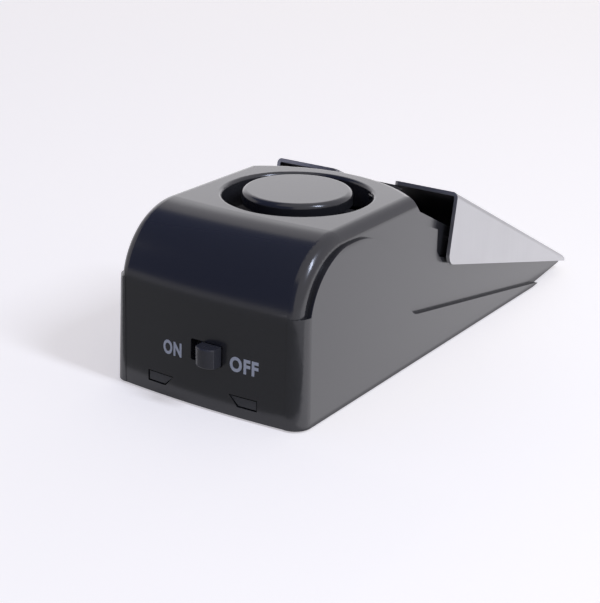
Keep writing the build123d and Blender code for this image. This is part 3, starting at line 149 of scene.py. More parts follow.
def worked_metal(
        name, colour, roughness, run_mm, line_mm, across, contrast=0.1, depth_mm=0.01, cloud_mm=9.0, uneven=0.06):
    """A metal with the lines that its brushing, drawing or turning left, which vary fast along the axes in across."""
    made, tree, place = material(name)
    scale = [per(line_mm if axis in across else run_mm) for axis in "XYZ"]
    stretch = add(tree, "ShaderNodeMapping", {"Vector": place, "Scale": scale})
    lines = add(tree, "ShaderNodeTexNoise", {"Vector": stretch.outputs["Vector"], "Scale": 1.0, "Detail": 4.0})
    cloud = add(tree, "ShaderNodeTexNoise", {"Vector": place, "Scale": per(cloud_mm), "Detail": 1.0})
    tone = add(tree, "ShaderNodeMapRange", {
        "Value": lines.outputs["Fac"], "To Min": 1 - contrast, "To Max": 1 + contrast / 2})
    haze = add(tree, "ShaderNodeMapRange", {"Value": cloud.outputs["Fac"], "To Min": 0.94, "To Max": 1.04})
    both = add(tree, "ShaderNodeMath", {0: tone.outputs["Result"], 1: haze.outputs["Result"]}, operation="MULTIPLY")
    base = add(tree, "ShaderNodeMix", {
        SHARE: 1.0, FIRST: tuple(colour), SECOND: both.outputs[0]}, data_type="RGBA", blend_type="MULTIPLY")
    gloss = add(tree, "ShaderNodeMapRange", {
        "Value": lines.outputs["Fac"], "To Min": roughness - uneven, "To Max": roughness + uneven})
    relief = add(tree, "ShaderNodeBump", {
        "Height": lines.outputs["Fac"], "Strength": 0.15, "Distance": depth_mm * MM})
    return finished(made, tree, {
        "Base Color": base.outputs[MIXED], "Roughness": gloss.outputs["Result"],
        "Normal": relief.outputs["Normal"], "Metallic": 1.0})


def foamed(name, colour, cell_mm, depth_mm):
    """A closed-cell foam skin: small round cells of uneven size, matt all over."""
    made, tree, place = material(name)
    cells = add(tree, "ShaderNodeTexVoronoi", {"Vector": place, "Scale": per(cell_mm), "Randomness": 1.0})
    tint = add(tree, "ShaderNodeMapRange", {"Value": cells.outputs["Distance"], "To Min": 1.12, "To Max": 0.7})
    base = add(tree, "ShaderNodeMix", {
        SHARE: 1.0, FIRST: linear(colour), SECOND: tint.outputs["Result"]}, data_type="RGBA", blend_type="MULTIPLY")
    relief = add(tree, "ShaderNodeBump", {
        "Height": cells.outputs["Distance"], "Strength": 0.7, "Distance": depth_mm * MM})
    return finished(made, tree, {
        "Base Color": base.outputs[MIXED], "Roughness": 0.9, "Normal": relief.outputs["Normal"], "IOR": 1.45})


def split(name, axis, limit_mm, low, high, grain_mm=0.5):
    """Two finishes that meet at a place along one axis; low and high are (colour, roughness, metallic)."""
    made, tree, place = material(name)
    parts = add(tree, "ShaderNodeSeparateXYZ", {0: place})
    past = add(tree, "ShaderNodeMath", {0: parts.outputs[axis], 1: limit_mm * MM}, operation="GREATER_THAN").outputs[0]
    grain = add(tree, "ShaderNodeTexNoise", {"Vector": place, "Scale": per(grain_mm), "Detail": 3.0})
    tint = add(tree, "ShaderNodeMapRange", {"Value": grain.outputs["Fac"], "To Min": 0.85, "To Max": 1.15})
    pick = add(tree, "ShaderNodeMix", {SHARE: past, FIRST: linear(low[0]), SECOND: linear(high[0])}, data_type="RGBA")
    base = add(tree, "ShaderNodeMix", {
        SHARE: 1.0, FIRST: pick.outputs[MIXED], SECOND: tint.outputs["Result"]},
        data_type="RGBA", blend_type="MULTIPLY")
    relief = add(tree, "ShaderNodeBump", {"Height": grain.outputs["Fac"], "Strength": 0.2, "Distance": 0.02 * MM})
    inputs = {"Base Color": base.outputs[MIXED], "Normal": relief.outputs["Normal"]}
    # A value that is the same on both sides is set on the shader itself
    for socket, under, over in (("Roughness", low[1], high[1]), ("Metallic", low[2], high[2])):
        inputs[socket] = under if under == over else add(tree, "ShaderNodeMapRange", {
            "Value": past, "To Min": under, "To Max": over}).outputs["Result"]
    return finished(made, tree, inputs)


def middle(node):
    """Middle of a CAD node's box."""
    low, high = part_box(node)
    return (low + high) / 2


def loose_boxes(node):
    """Lowest and highest corner of each separate solid in a CAD node."""
    work = bmesh.new()
    work.from_mesh(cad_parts[node].data)
    bmesh.ops.remove_doubles(work, verts=work.verts, dist=SOLID_WELD)
    left, boxes = set(work.verts), []
    while left:
        front, group = [left.pop()], []
        while front:
            vert = front.pop()
            group.append(vert.co.copy())
            for edge in vert.link_edges:
                other = edge.other_vert(vert)
                if other in left:
                    left.remove(other)
                    front.append(other)
        boxes.append(tuple(Vector([pick(co[i] for co in group) for i in range(3)]) for pick in (min, max)))
    work.free()
    return sorted(boxes, key=lambda box: tuple(box[0]))


def keep_piece(context, work, name, body, slot, *materials, smooth=True):
    """Turns a bmesh into a piece that rides on a body."""
    bmesh.ops.remove_doubles(work, verts=work.verts, dist=WELD)
    bmesh.ops.recalc_face_normals(work, faces=work.faces)
    for face in work.faces:
        face.smooth = smooth
    mesh = bpy.data.meshes.new(name)
    work.to_mesh(mesh)
    work.free()
    for each in materials:
        mesh.materials.append(each)
    if smooth:
        mesh.set_sharp_from_angle(angle=SHARP_FROM)
    piece = bpy.data.objects.new(name, mesh)
    context.scene.collection.objects.link(piece)
    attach(piece, body)
    return piece


def turned(work, outline, steps):
    """Spins an outline of (radius, height) points about the Z axis into a closed body."""
    verts = [work.verts.new((radius, 0, height)) for radius, height in outline]
    edges = [work.edges.new(pair) for pair in zip(verts, verts[1:])]
    bmesh.ops.spin(
        work, geom=verts + edges, cent=(0, 0, 0), axis=(0, 0, 1), angle=math.tau, steps=steps,
        use_merge=True, use_duplicate=False)
    bmesh.ops.remove_doubles(work, verts=work.verts, dist=WELD)


def coiled(work, radius, wire, start, runs, steps, sides=8):
    """Winds a wire into a helix about the Z axis; runs are (turns, rise per turn) one after the other."""
    turn = Matrix.Translation((radius, 0, start)) @ Matrix.Rotation(math.pi / 2, 4, "X")
    ring = bmesh.ops.create_circle(work, cap_ends=True, segments=sides, radius=wire, matrix=turn)
    geom = ring["verts"] + list({edge for vert in ring["verts"] for edge in vert.link_edges})
    caps = list({face for vert in ring["verts"] for face in vert.link_faces})
    bmesh.ops.reverse_faces(work, faces=caps)
    for turns, rise in runs:
        count = max(1, round(turns * steps))
        done = bmesh.ops.spin(
            work, geom=geom, cent=(0, 0, 0), axis=(0, 0, 1), dvec=(0, 0, rise / steps),
            angle=math.tau * turns, steps=count, use_merge=False, use_duplicate=False)
        geom = [each for each in done["geom_last"] if not isinstance(each, bmesh.types.BMFace)]
    last = [each for each in geom if isinstance(each, bmesh.types.BMEdge)]
    bmesh.ops.contextual_create(work, geom=last)


def cut_cross(context, mesh, width, reach, depth, top, taper=0.55):
    """Cuts a cross recess into the top of a screw head; its arms shrink to the share taper at their foot."""
    cutter = bmesh.new()
    for turn in (0, math.pi / 2):
        place = Matrix.Translation((0, 0, top)) @ Matrix.Rotation(turn, 4, "Z") @ Matrix.Diagonal((
            2 * reach, width, 2 * depth, 1))
        arm = bmesh.ops.create_cube(cutter, size=1.0, matrix=place)["verts"]
        for vert in arm:
            if vert.co.z < top:
                vert.co.x *= taper
                vert.co.y *= taper
    tool_mesh = bpy.data.meshes.new("cross_cutter")
    cutter.to_mesh(tool_mesh)
    cutter.free()
    tool = bpy.data.objects.new("cross_cutter", tool_mesh)
    blank = bpy.data.objects.new("screw_blank", mesh)
    for each in (tool, blank):
        context.scene.collection.objects.link(each)
    cut = blank.modifiers.new("Cross", "BOOLEAN")
    cut.operation = "DIFFERENCE"
    cut.solver = "EXACT"
    cut.use_self = True
    cut.object = tool
    context.view_layer.update()
    result = bpy.data.meshes.new_from_object(blank.evaluated_get(context.evaluated_depsgraph_get()))
    for each in (tool, blank):
        bpy.data.objects.remove(each)
    return result


class AlarmFinish(PropertyGroup):
    """Colours and gloss of the pieces"""
    shell_colour: FloatVectorProperty(
        name="Shell colour", description="Colour of the moulded shell and siren cap", subtype="COLOR", size=4,
        default=linear("#28282B"), min=0, max=1)
    shell_roughness: FloatProperty(
        name="Shell roughness", description="How much the shell blurs reflections", subtype="FACTOR",
        default=0.20, min=0, max=1)
    base_colour: FloatVectorProperty(
        name="Base colour", description="Colour of the base cover, battery door and siren chamber",
        subtype="COLOR", size=4, default=linear("#25262A"), min=0, max=1)
    steel_colour: FloatVectorProperty(
        name="Steel colour", description="Colour of the brushed pressure plate", subtype="COLOR", size=4,
        default=linear("#A5A5A7"), min=0, max=1)
    ink_colour: FloatVectorProperty(
        name="Ink colour", description="Colour of the printed switch words", subtype="COLOR", size=4,
        default=linear("#B9BEC9"), min=0, max=1)


class AlarmSizes(PropertyGroup):
    """Sizes of the fine pieces"""
    ink_thickness: FloatProperty(
        name="Ink thickness", description="How far the printed words stand on the shell",
        default=0.02 * MM, unit="LENGTH")
    thread_pitch: FloatProperty(
        name="Thread pitch", description="Rise of the screws' thread in one turn", default=0.8 * MM, unit="LENGTH")
    spring_wire: FloatProperty(
        name="Spring wire radius", description="Radius of the return spring's wire", default=0.21 * MM, unit="LENGTH")
    winding_wire: FloatProperty(
        name="Winding wire radius", description="Radius of the coil's copper wire", default=0.13 * MM, unit="LENGTH")
    screw_sides: IntProperty(
        name="Screw sides", description="Steps round a screw head", default=32, min=8, max=96)


class AlarmStage(PropertyGroup):
    """Camera, floor and fill light"""
    lens: FloatProperty(name="Lens", description="Focal length of the camera", default=90.66, unit="CAMERA")
    distance: FloatProperty(
        name="Distance", description="From the camera to the point it looks at", default=0.3086, unit="LENGTH")
    azimuth: FloatProperty(
        name="Azimuth", description="Angle round the alarm from its tall end",
        default=math.radians(33.34), subtype="ANGLE")
    pitch: FloatProperty(
        name="Pitch", description="Height of the camera as an angle above the floor",
        default=math.radians(20.74), subtype="ANGLE")
    roll: FloatProperty(
        name="Roll", description="Turn of the camera about its own axis", default=math.radians(1.15), subtype="ANGLE")
    floor_glow: FloatProperty(
        name="Floor glow", description="Share of the floor's pale colour that needs no light", subtype="FACTOR",
        default=0.48, min=0, max=1)
    fill: FloatProperty(name="Fill", description="Strength of the light from all round", default=0.40, min=0)


class ALARM_OT_plastics(Operator):
    """Finishes of the moulded pieces"""
    bl_idname = "alarm.plastics"
    bl_label = "Moulded pieces"

    def execute(self, context):
        finish = context.scene.alarm_finish
        # ABS from a finely polished tool: deep black, soft-edged reflections, almost no grain at arm's length
        shell = moulded("Satin black ABS", finish.shell_colour, finish.shell_roughness, 0.35, 0.004, mottle=0.04)
        dress("upper_housing", shell)
        dress("siren_cap", shell)
        # The same plastic from a spark-eroded tool: a fine even grain that takes the shine off
        grained = moulded("Spark-eroded black ABS", finish.base_colour, 0.46, 0.45, 0.05, bump=0.5)
        for node in ("base_cover", "battery_door", "siren_chamber"):
            dress(node, grained)
        # Acetal switch knob from a polished tool: a little paler and bluer than the shell
        dress("switch_knob", moulded("Polished black acetal", linear("#3A3A3F"), 0.24, 0.5, 0.004, ior=1.48))
        # Natural acetal turns light about inside, so it reads milky and waxy
        dress("trigger_plunger", moulded("Natural acetal", linear("#DDDACD"), 0.32, 0.6, 0.01, ior=1.48))
        # Nylon ring, semi-matt with faint flow marks
        dress("siren_retainer", moulded("Black nylon", linear("#1D1D1F"), 0.42, 0.9, 0.02, ior=1.53))
        # Soft vinyl of the snap connector, dull and slightly grey
        dress("battery_snap", moulded("Soft black vinyl", linear("#232325"), 0.55, 0.8, 0.03, ior=1.52, bump=0.5))
        # Phenolic paper board: brown, with the paper's mottle
        dress("switch_board", moulded("Phenolic paper board", linear("#8A5E2F"), 0.4, 0.25, 0.01, mottle=0.2))
        return {"FINISHED"}


class ALARM_OT_metals(Operator):
    """Finishes of the sheet, pin and contact pieces"""
    bl_idname = "alarm.metals"
    bl_label = "Metal pieces"

    def execute(self, context):
        finish = context.scene.alarm_finish
        # Stainless sheet brushed across its length before it was bent: fine lines run across the ramp and
        # down the flanges, and blur what it reflects. Real lines are finer; these are 0.3 mm to show
        dress("pressure_plate", worked_metal(
            "Brushed stainless steel", finish.steel_colour, 0.40, 26.0, 0.3, "Y", contrast=0.12))
        # Ground pin: turning lines round it, bright
        dress("hinge_pin", worked_metal("Ground steel", linear("#BEBFC2"), 0.22, 3.0, 0.12, "X"))
        # Phosphor bronze strip, rolled along its length, reddish gold
        dress("contact_leaf", worked_metal("Phosphor bronze strip", linear("#C98F5C"), 0.28, 9.0, 0.12, "Y"))
        # Tinned brass: pale grey with a soft, slightly uneven shine
        tinned = worked_metal("Tinned brass", linear("#C4C1B6"), 0.38, 0.5, 0.5, "XYZ")
        dress("leaf_bracket", tinned)
        dress("switch_pins", tinned)
        # Nickel on steel and brass, warm and glossy
        nickel = worked_metal("Nickel plate", linear("#CFC8BC"), 0.2, 0.8, 0.8, "XYZ", contrast=0.05)
        dress("contact_stud", nickel)
        dress("battery_terminals", nickel)
        # Rolled brass of the piezo disc, yellow with fine lines one way
        dress("piezo_plate", worked_metal("Rolled brass", linear("#D9B66A"), 0.26, 12.0, 0.15, "X"))
        # Tinned steel can of the slide switch, with the sheet's rolling lines
        dress("switch_body", worked_metal("Tinned steel sheet", linear("#B9BABB"), 0.33, 4.0, 0.2, "Z"))
        return {"FINISHED"}


class ALARM_OT_soft_finishes(Operator):
    """Finishes of the pads, gasket, leads and ceramic"""
    bl_idname = "alarm.soft_finishes"
    bl_label = "Pads, gasket, leads and ceramic"

    def execute(self, context):
        # EVA foam strips, cut from sheet: open matt surface with 0.5 mm cells
        dress("grip_pads", foamed("Black EVA foam", "#2B2B2C", 0.5, 0.12))
        # Softer foam of the siren's gasket, finer cells
        dress("siren_gasket", foamed("Black gasket foam", "#242425", 0.35, 0.08))
        # Silver electrode fired on ceramic: whitish metal with a dull, dusty look
        dress("piezo_ceramic", moulded("Silvered ceramic", linear("#C9C7C1"), 0.45, 0.3, 0.01, mottle=0.05))
        # PVC insulation, one lead red and one black in each pair, split between the two
        for node in ("battery_leads", "switch_leads", "siren_leads"):
            dress(node, split(
                "PVC lead insulation " + node, 0, middle(node).x / MM,
                ("#1B1B1C", 0.4, 0.0), ("#A3181B", 0.4, 0.0), grain_mm=1.5))
        return {"FINISHED"}


class ALARM_OT_board_finishes(Operator):
    """Finishes of the circuit board, its components and the battery"""
    bl_idname = "alarm.board_finishes"
    bl_label = "Board and battery"

    def execute(self, context):
        dress("circuit_board", self.lacquered_board("circuit_board"))

        # Moulded epoxy with tinned legs: dull black body, soft grey metal legs
        legs = ("#B9B8B3", 0.35, 1.0)
        epoxy = ("#1A1A1B", 0.55, 0.0)
        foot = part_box("transistor")[0].z
        leg_height = 1.0 * MM
        dress("transistor", split("Epoxy with tinned legs", 2, (foot + leg_height) / MM, legs, epoxy))
        dress("sounder_chip", self.legged_chip("sounder_chip", legs, epoxy))

        # Shrunk plastic sleeve on an aluminium can, which shows at the lead end
        near_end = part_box("capacitor")[0].x
        sleeve_length = 6.9 * MM
        dress("capacitor", split(
            "Sleeved aluminium can", 0, (near_end + sleeve_length) / MM,
            ("#1C2A4E", 0.3, 0.0), ("#BFC0C2", 0.35, 1.0)))

        dress("resistors", self.banded_resistor("resistors"))

        # Lacquered steel can of the battery: dark body and a coppery band at its terminal end
        terminal_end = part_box("battery")[1].y
        band_length = 9.0 * MM
        dress("battery", split(
            "Lacquered battery can", 1, (terminal_end - band_length) / MM,
            ("#23262F", 0.28, 0.0), ("#B58A54", 0.3, 1.0), grain_mm=6.0))
        return {"FINISHED"}

    def lacquered_board(self, node):
        """Glass-epoxy board: green lacquer over copper tracks, which show as paler lines, cut edges bare."""
        made, tree, place = material("Green lacquered board")
        parts = add(tree, "ShaderNodeSeparateXYZ", {0: place})
        tracks = add(tree, "ShaderNodeTexBrick", {
            "Vector": place, "Color1": (0, 0, 0, 1), "Color2": (0, 0, 0, 1), "Mortar": (1, 1, 1, 1),
            "Scale": per(6.0), "Mortar Size": 0.05, "Brick Width": 0.9, "Row Height": 0.45}, offset=0.37)
        lacquer = add(tree, "ShaderNodeMix", {
            SHARE: tracks.outputs["Color"], FIRST: linear("#12522C"), SECOND: linear("#2A7A45")}, data_type="RGBA")
        relief = add(tree, "ShaderNodeBump", {
            "Height": tracks.outputs["Color"], "Strength": 0.6, "Distance": 0.035 * MM})
        high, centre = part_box(node)[1], middle(node)
        bare_depth = 0.02 * MM
        out_x = add(tree, "ShaderNodeMath", {0: parts.outputs[0]}, operation="ABSOLUTE")
        edge_x = add(tree, "ShaderNodeMath", {
            0: out_x.outputs[0], 1: high.x - bare_depth}, operation="GREATER_THAN")
        from_y = add(tree, "ShaderNodeMath", {0: parts.outputs[1], 1: centre.y}, operation="SUBTRACT")
        out_y = add(tree, "ShaderNodeMath", {0: from_y.outputs[0]}, operation="ABSOLUTE")
        edge_y = add(tree, "ShaderNodeMath", {
            0: out_y.outputs[0], 1: high.y - centre.y - bare_depth}, operation="GREATER_THAN")
        edge = add(tree, "ShaderNodeMath", {0: edge_x.outputs[0], 1: edge_y.outputs[0]}, operation="MAXIMUM")
        base = add(tree, "ShaderNodeMix", {
            SHARE: edge.outputs[0], FIRST: lacquer.outputs[MIXED], SECOND: linear("#B8A878")}, data_type="RGBA")
        return finished(made, tree, {
            "Base Color": base.outputs[MIXED], "Roughness": 0.3, "Normal": relief.outputs["Normal"]})

    def legged_chip(self, node, legs, epoxy):
        """Chip of dull black epoxy with tinned legs at both long sides."""
        body_half = 2.01 * MM
        made, tree, place = material("Epoxy chip with tinned legs")
        parts = add(tree, "ShaderNodeSeparateXYZ", {0: place})
        from_y = add(tree, "ShaderNodeMath", {0: parts.outputs[1], 1: middle(node).y}, operation="SUBTRACT")
        out_y = add(tree, "ShaderNodeMath", {0: from_y.outputs[0]}, operation="ABSOLUTE")
        leg = add(tree, "ShaderNodeMath", {0: out_y.outputs[0], 1: body_half}, operation="GREATER_THAN").outputs[0]
        base = add(tree, "ShaderNodeMix", {
            SHARE: leg, FIRST: linear(epoxy[0]), SECOND: linear(legs[0])}, data_type="RGBA")
        grain = add(tree, "ShaderNodeTexNoise", {"Vector": place, "Scale": per(0.15), "Detail": 2.0})
        relief = add(tree, "ShaderNodeBump", {
            "Height": grain.outputs["Fac"], "Strength": 0.3, "Distance": 0.01 * MM})
        gloss = add(tree, "ShaderNodeMapRange", {"Value": leg, "To Min": epoxy[1], "To Max": legs[1]})
        return finished(made, tree, {
            "Base Color": base.outputs[MIXED], "Roughness": gloss.outputs["Result"], "Metallic": leg,
            "Normal": relief.outputs["Normal"]})

    def banded_resistor(self, node):
        """Lacquered film resistors: beige bodies with four colour bands, tinned leads."""
        body_half, band_half = 1.81 * MM, 0.2 * MM
        made, tree, place = material("Banded film resistor")
        parts = add(tree, "ShaderNodeSeparateXYZ", {0: place})
        centre_x = middle(node).x / MM
        colour = linear("#C9A777")
        for shift_mm, band in ((-1.2, "#7A3B12"), (-0.6, "#1A1A1A"), (0.0, "#C2491D"), (1.1, "#B8902F")):
            off = add(tree, "ShaderNodeMath", {
                0: parts.outputs[0], 1: (centre_x + shift_mm) * MM}, operation="SUBTRACT")
            far = add(tree, "ShaderNodeMath", {0: off.outputs[0]}, operation="ABSOLUTE")
            near = add(tree, "ShaderNodeMath", {0: far.outputs[0], 1: band_half}, operation="LESS_THAN")
            colour = add(tree, "ShaderNodeMix", {
                SHARE: near.outputs[0], FIRST: colour, SECOND: linear(band)}, data_type="RGBA").outputs[MIXED]
        off = add(tree, "ShaderNodeMath", {0: parts.outputs[0], 1: centre_x * MM}, operation="SUBTRACT")
        far = add(tree, "ShaderNodeMath", {0: off.outputs[0]}, operation="ABSOLUTE")
        lead = add(tree, "ShaderNodeMath", {0: far.outputs[0], 1: body_half}, operation="GREATER_THAN").outputs[0]
        base = add(tree, "ShaderNodeMix", {
            SHARE: lead, FIRST: colour, SECOND: linear("#B9B8B3")}, data_type="RGBA")
        return finished(made, tree, {"Base Color": base.outputs[MIXED], "Roughness": 0.3, "Metallic": lead})


class ALARM_OT_words(Operator):
    """Pad-printed ON and OFF beside the switch"""
    bl_idname = "alarm.words"
    bl_label = "Switch words"

    def execute(self, context):
        finish, sizes = context.scene.alarm_finish, context.scene.alarm_sizes
        # Pad-printing ink: a thin matt film, pale grey, that the plastic's texture shows through
        ink = moulded("Pad-printed ink", finish.ink_colour, 0.55, 0.3, 0.006, mottle=0.05)
        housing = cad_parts["upper_housing"]
        surface = BVHTree.FromObject(housing, context.evaluated_depsgraph_get())
        ahead = CAD_BOX[0].y - 10 * MM
        # The box that each word fills on the tall end, in millimetres
        for word, low_x, high_x, low_z, high_z in (
            ("ON", -9.3, -4.7, 9.4, 12.4),
            ("OFF", 6.9, 13.4, 9.7, 12.8),
        ):
            text = bpy.data.curves.new("switch_word_" + word.lower(), "FONT")
            text.body = word
            text.size = 1.0
            text.offset = 0.038  # the printed strokes are bolder than the font's
            text.space_character = 1.14  # and would touch at the font's own spacing
            text.extrude = 0.1
            text.resolution_u = 5
            holder = bpy.data.objects.new(text.name, text)
            context.scene.collection.objects.link(holder)
            context.view_layer.update()
            mesh = bpy.data.meshes.new_from_object(holder.evaluated_get(context.evaluated_depsgraph_get()))
            bpy.data.objects.remove(holder)
            work = bmesh.new()
            work.from_mesh(mesh)
            xs = [vert.co.x for vert in work.verts]
            ys = [vert.co.y for vert in work.verts]
            for vert in work.verts:
                x = (low_x + (vert.co.x - min(xs)) / (max(xs) - min(xs)) * (high_x - low_x)) * MM
                z = (low_z + (vert.co.y - min(ys)) / (max(ys) - min(ys)) * (high_z - low_z)) * MM
                hit = surface.ray_cast(Vector((x, ahead, z)), Vector((0, 1, 0)))[0]
                if hit is None:
                    raise RuntimeError("a switch word misses the tall end")
                out = sizes.ink_thickness if vert.co.z > 0 else -sizes.ink_thickness
                vert.co = (x, hit.y - out, z)
            keep_piece(context, work, text.name, "housing", "upper_housing", ink, smooth=False)
        return {"FINISHED"}


class ALARM_OT_screws(Operator):
    """Pan-head screws with a cross recess and a thread, in place of the plain ones"""
    bl_idname = "alarm.screws"
    bl_label = "Screws"

    def execute(self, context):
        sizes = context.scene.alarm_sizes
        # Zinc-plated steel: bluish pale grey with a soft sparkle
        zinc = worked_metal("Zinc-plated steel", linear("#B4B8BE"), 0.3, 0.6, 0.6, "XYZ")
        # The way each head looks, the head's height and the thread's outer radius in millimetres
        for node, head_way, head_mm, outer_mm in (
            ("base_screws", (0, 0, -1), 1.2, 1.1),
            ("siren_screws", (0, 0, -1), 1.2, 1.1),
            ("switch_screws", (0, 1, 0), 1.2, 1.1),
            ("board_screws", (0, 0, 1), 0.9, 0.9),
        ):
            way = Vector(head_way)
            head, outer = head_mm * MM, outer_mm * MM
            core = 0.78 * outer
            group = bmesh.new()
            for low, high in loose_boxes(node):
                span = abs((high - low).dot(way))
                radius = (high.x - low.x) / 2
                blank = self.blank(context, radius, core, head, span, sizes.screw_sides)
                thread = self.thread(core, outer, span - head, sizes.thread_pitch)
                point = (low + high) / 2 - way * span / 2
                place = Matrix.Translation(point) @ way.to_track_quat("Z", "Y").to_matrix().to_4x4()
                for part in (blank, thread):
                    part.transform(place)
                    group.from_mesh(part)
                    bpy.data.meshes.remove(part)
            piece = keep_piece(context, group, "cross_head_" + node, "housing", node, zinc)
            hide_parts(node)
        return {"FINISHED"}

    def blank(self, context, radius, core, head, span, sides):
        """A screw without its thread, point down on the origin, with the cross cut into its domed head."""
        under = span - head
        work = bmesh.new()
        turned(work, [
            (0, 0), (0.3 * core, 0), (core, 1.4 * core), (core, under), (radius, under),
            (radius, under + 0.45 * head), (0.93 * radius, under + 0.72 * head),
            (0.72 * radius, under + 0.92 * head), (0.4 * radius, span), (0, span),
        ], sides)
        bmesh.ops.recalc_face_normals(work, faces=work.faces)
        mesh = bpy.data.meshes.new("screw")
        work.to_mesh(mesh)
        work.free()
        return cut_cross(context, mesh, width=0.24 * radius, reach=0.58 * radius, depth=0.62 * head, top=span)

    def thread(self, core, outer, under, pitch, steps_per_turn=16):
        """A three-sided ridge wound up the shank, its foot sunk a little into the core."""
        foot, half_width, start = 0.97 * core, 0.28 * pitch, 1.2 * core
        ridge = bmesh.new()
        corners = [
            ridge.verts.new((foot, 0, -half_width)),
            ridge.verts.new((outer, 0, 0)),
            ridge.verts.new((foot, 0, half_width)),
        ]
        profile = ridge.faces.new(corners)
        bmesh.ops.translate(ridge, verts=corners, vec=(0, 0, start))
        turns = (under - start - 0.6 * pitch) / pitch
        steps = round(turns * steps_per_turn)
        geom = corners + list(profile.edges)
        bmesh.ops.reverse_faces(ridge, faces=[profile])
        done = bmesh.ops.spin(
            ridge, geom=geom, cent=(0, 0, 0), axis=(0, 0, 1), dvec=(0, 0, turns * pitch / steps),
            angle=math.tau * turns, steps=steps, use_merge=False, use_duplicate=False)
        end = [each for each in done["geom_last"] if isinstance(each, bmesh.types.BMEdge)]
        bmesh.ops.contextual_create(ridge, geom=end)
        bmesh.ops.recalc_face_normals(ridge, faces=ridge.faces)
        mesh = bpy.data.meshes.new("thread")
        ridge.to_mesh(mesh)
        ridge.free()
        return mesh


class ALARM_OT_spring(Operator):
    """Return spring with closed ends"""
    bl_idname = "alarm.spring"
    bl_label = "Return spring"

    def execute(self, context):
        wire = context.scene.alarm_sizes.spring_wire
        low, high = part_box("return_spring")
        centre = (low + high) / 2
        height = high.z - low.z
        radius = (high.x - low.x) / 2 - wire
        closed_turns, open_turns = 0.9, 3.6
        closed_rise = 2.15 * wire
        open_rise = (height - 2 * wire - 2 * closed_turns * closed_rise) / open_turns
        work = bmesh.new()
        coiled(work, radius, wire, low.z + wire, (
            (closed_turns, closed_rise), (open_turns, open_rise), (closed_turns, closed_rise)), steps=40, sides=10)
        bmesh.ops.translate(work, verts=work.verts, vec=(centre.x, centre.y, 0))
        # Hard-drawn music wire: grey, bright along its drawing lines
        piece = keep_piece(
            context, work, "closed_end_spring", "housing", "return_spring",
            worked_metal("Music wire", linear("#A9ABAE"), 0.25, 0.9, 0.25, "Z"))
        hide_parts("return_spring")
        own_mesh(piece)
        return {"FINISHED"}


class ALARM_OT_coil(Operator):
    """Step-up coil: a ferrite drum wound with copper wire"""
    bl_idname = "alarm.coil"
    bl_label = "Step-up coil"

    def execute(self, context):
        wire = context.scene.alarm_sizes.winding_wire
        low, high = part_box("step_up_coil")
        centre = (low + high) / 2
        radius, height = (high.x - low.x) / 2, high.z - low.z
        flange, waist, edge = 0.8 * MM, radius - 1.2 * MM, 0.15 * MM
        drum = bmesh.new()
        turned(drum, [
            (0, 0), (radius - edge, 0), (radius, edge), (radius, flange - edge), (radius - edge, flange),
            (waist, flange), (waist, height - flange), (radius - edge, height - flange),
            (radius, height - flange + edge), (radius, height - edge), (radius - edge, height), (0, height),
        ], 48)
        bmesh.ops.translate(drum, verts=drum.verts, vec=(centre.x, centre.y, low.z))
        # Pressed and fired ferrite: dark grey, dull, with a sandy grain
        piece = keep_piece(
            context, drum, "coil_drum", "housing", "step_up_coil",
            moulded("Fired ferrite", linear("#2C2A2B"), 0.6, 0.25, 0.03, bump=0.6))
        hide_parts("step_up_coil")
        winding = bmesh.new()
        pitch, margin = 2.1 * wire, 1.2 * wire
        turns = (height - 2 * flange - 2 * margin) / pitch
        coiled(winding, waist + wire, wire, flange + margin, ((turns, pitch),), steps=28, sides=6)
        bmesh.ops.translate(winding, verts=winding.verts, vec=(centre.x, centre.y, low.z))
        # Enamelled copper wire: red-brown gloss
        keep_piece(
            context, winding, "coil_winding", "housing", "step_up_coil",
            worked_metal("Enamelled copper wire", linear("#B5562B"), 0.24, 1.0, 1.0, "XYZ"))
        return {"FINISHED"}


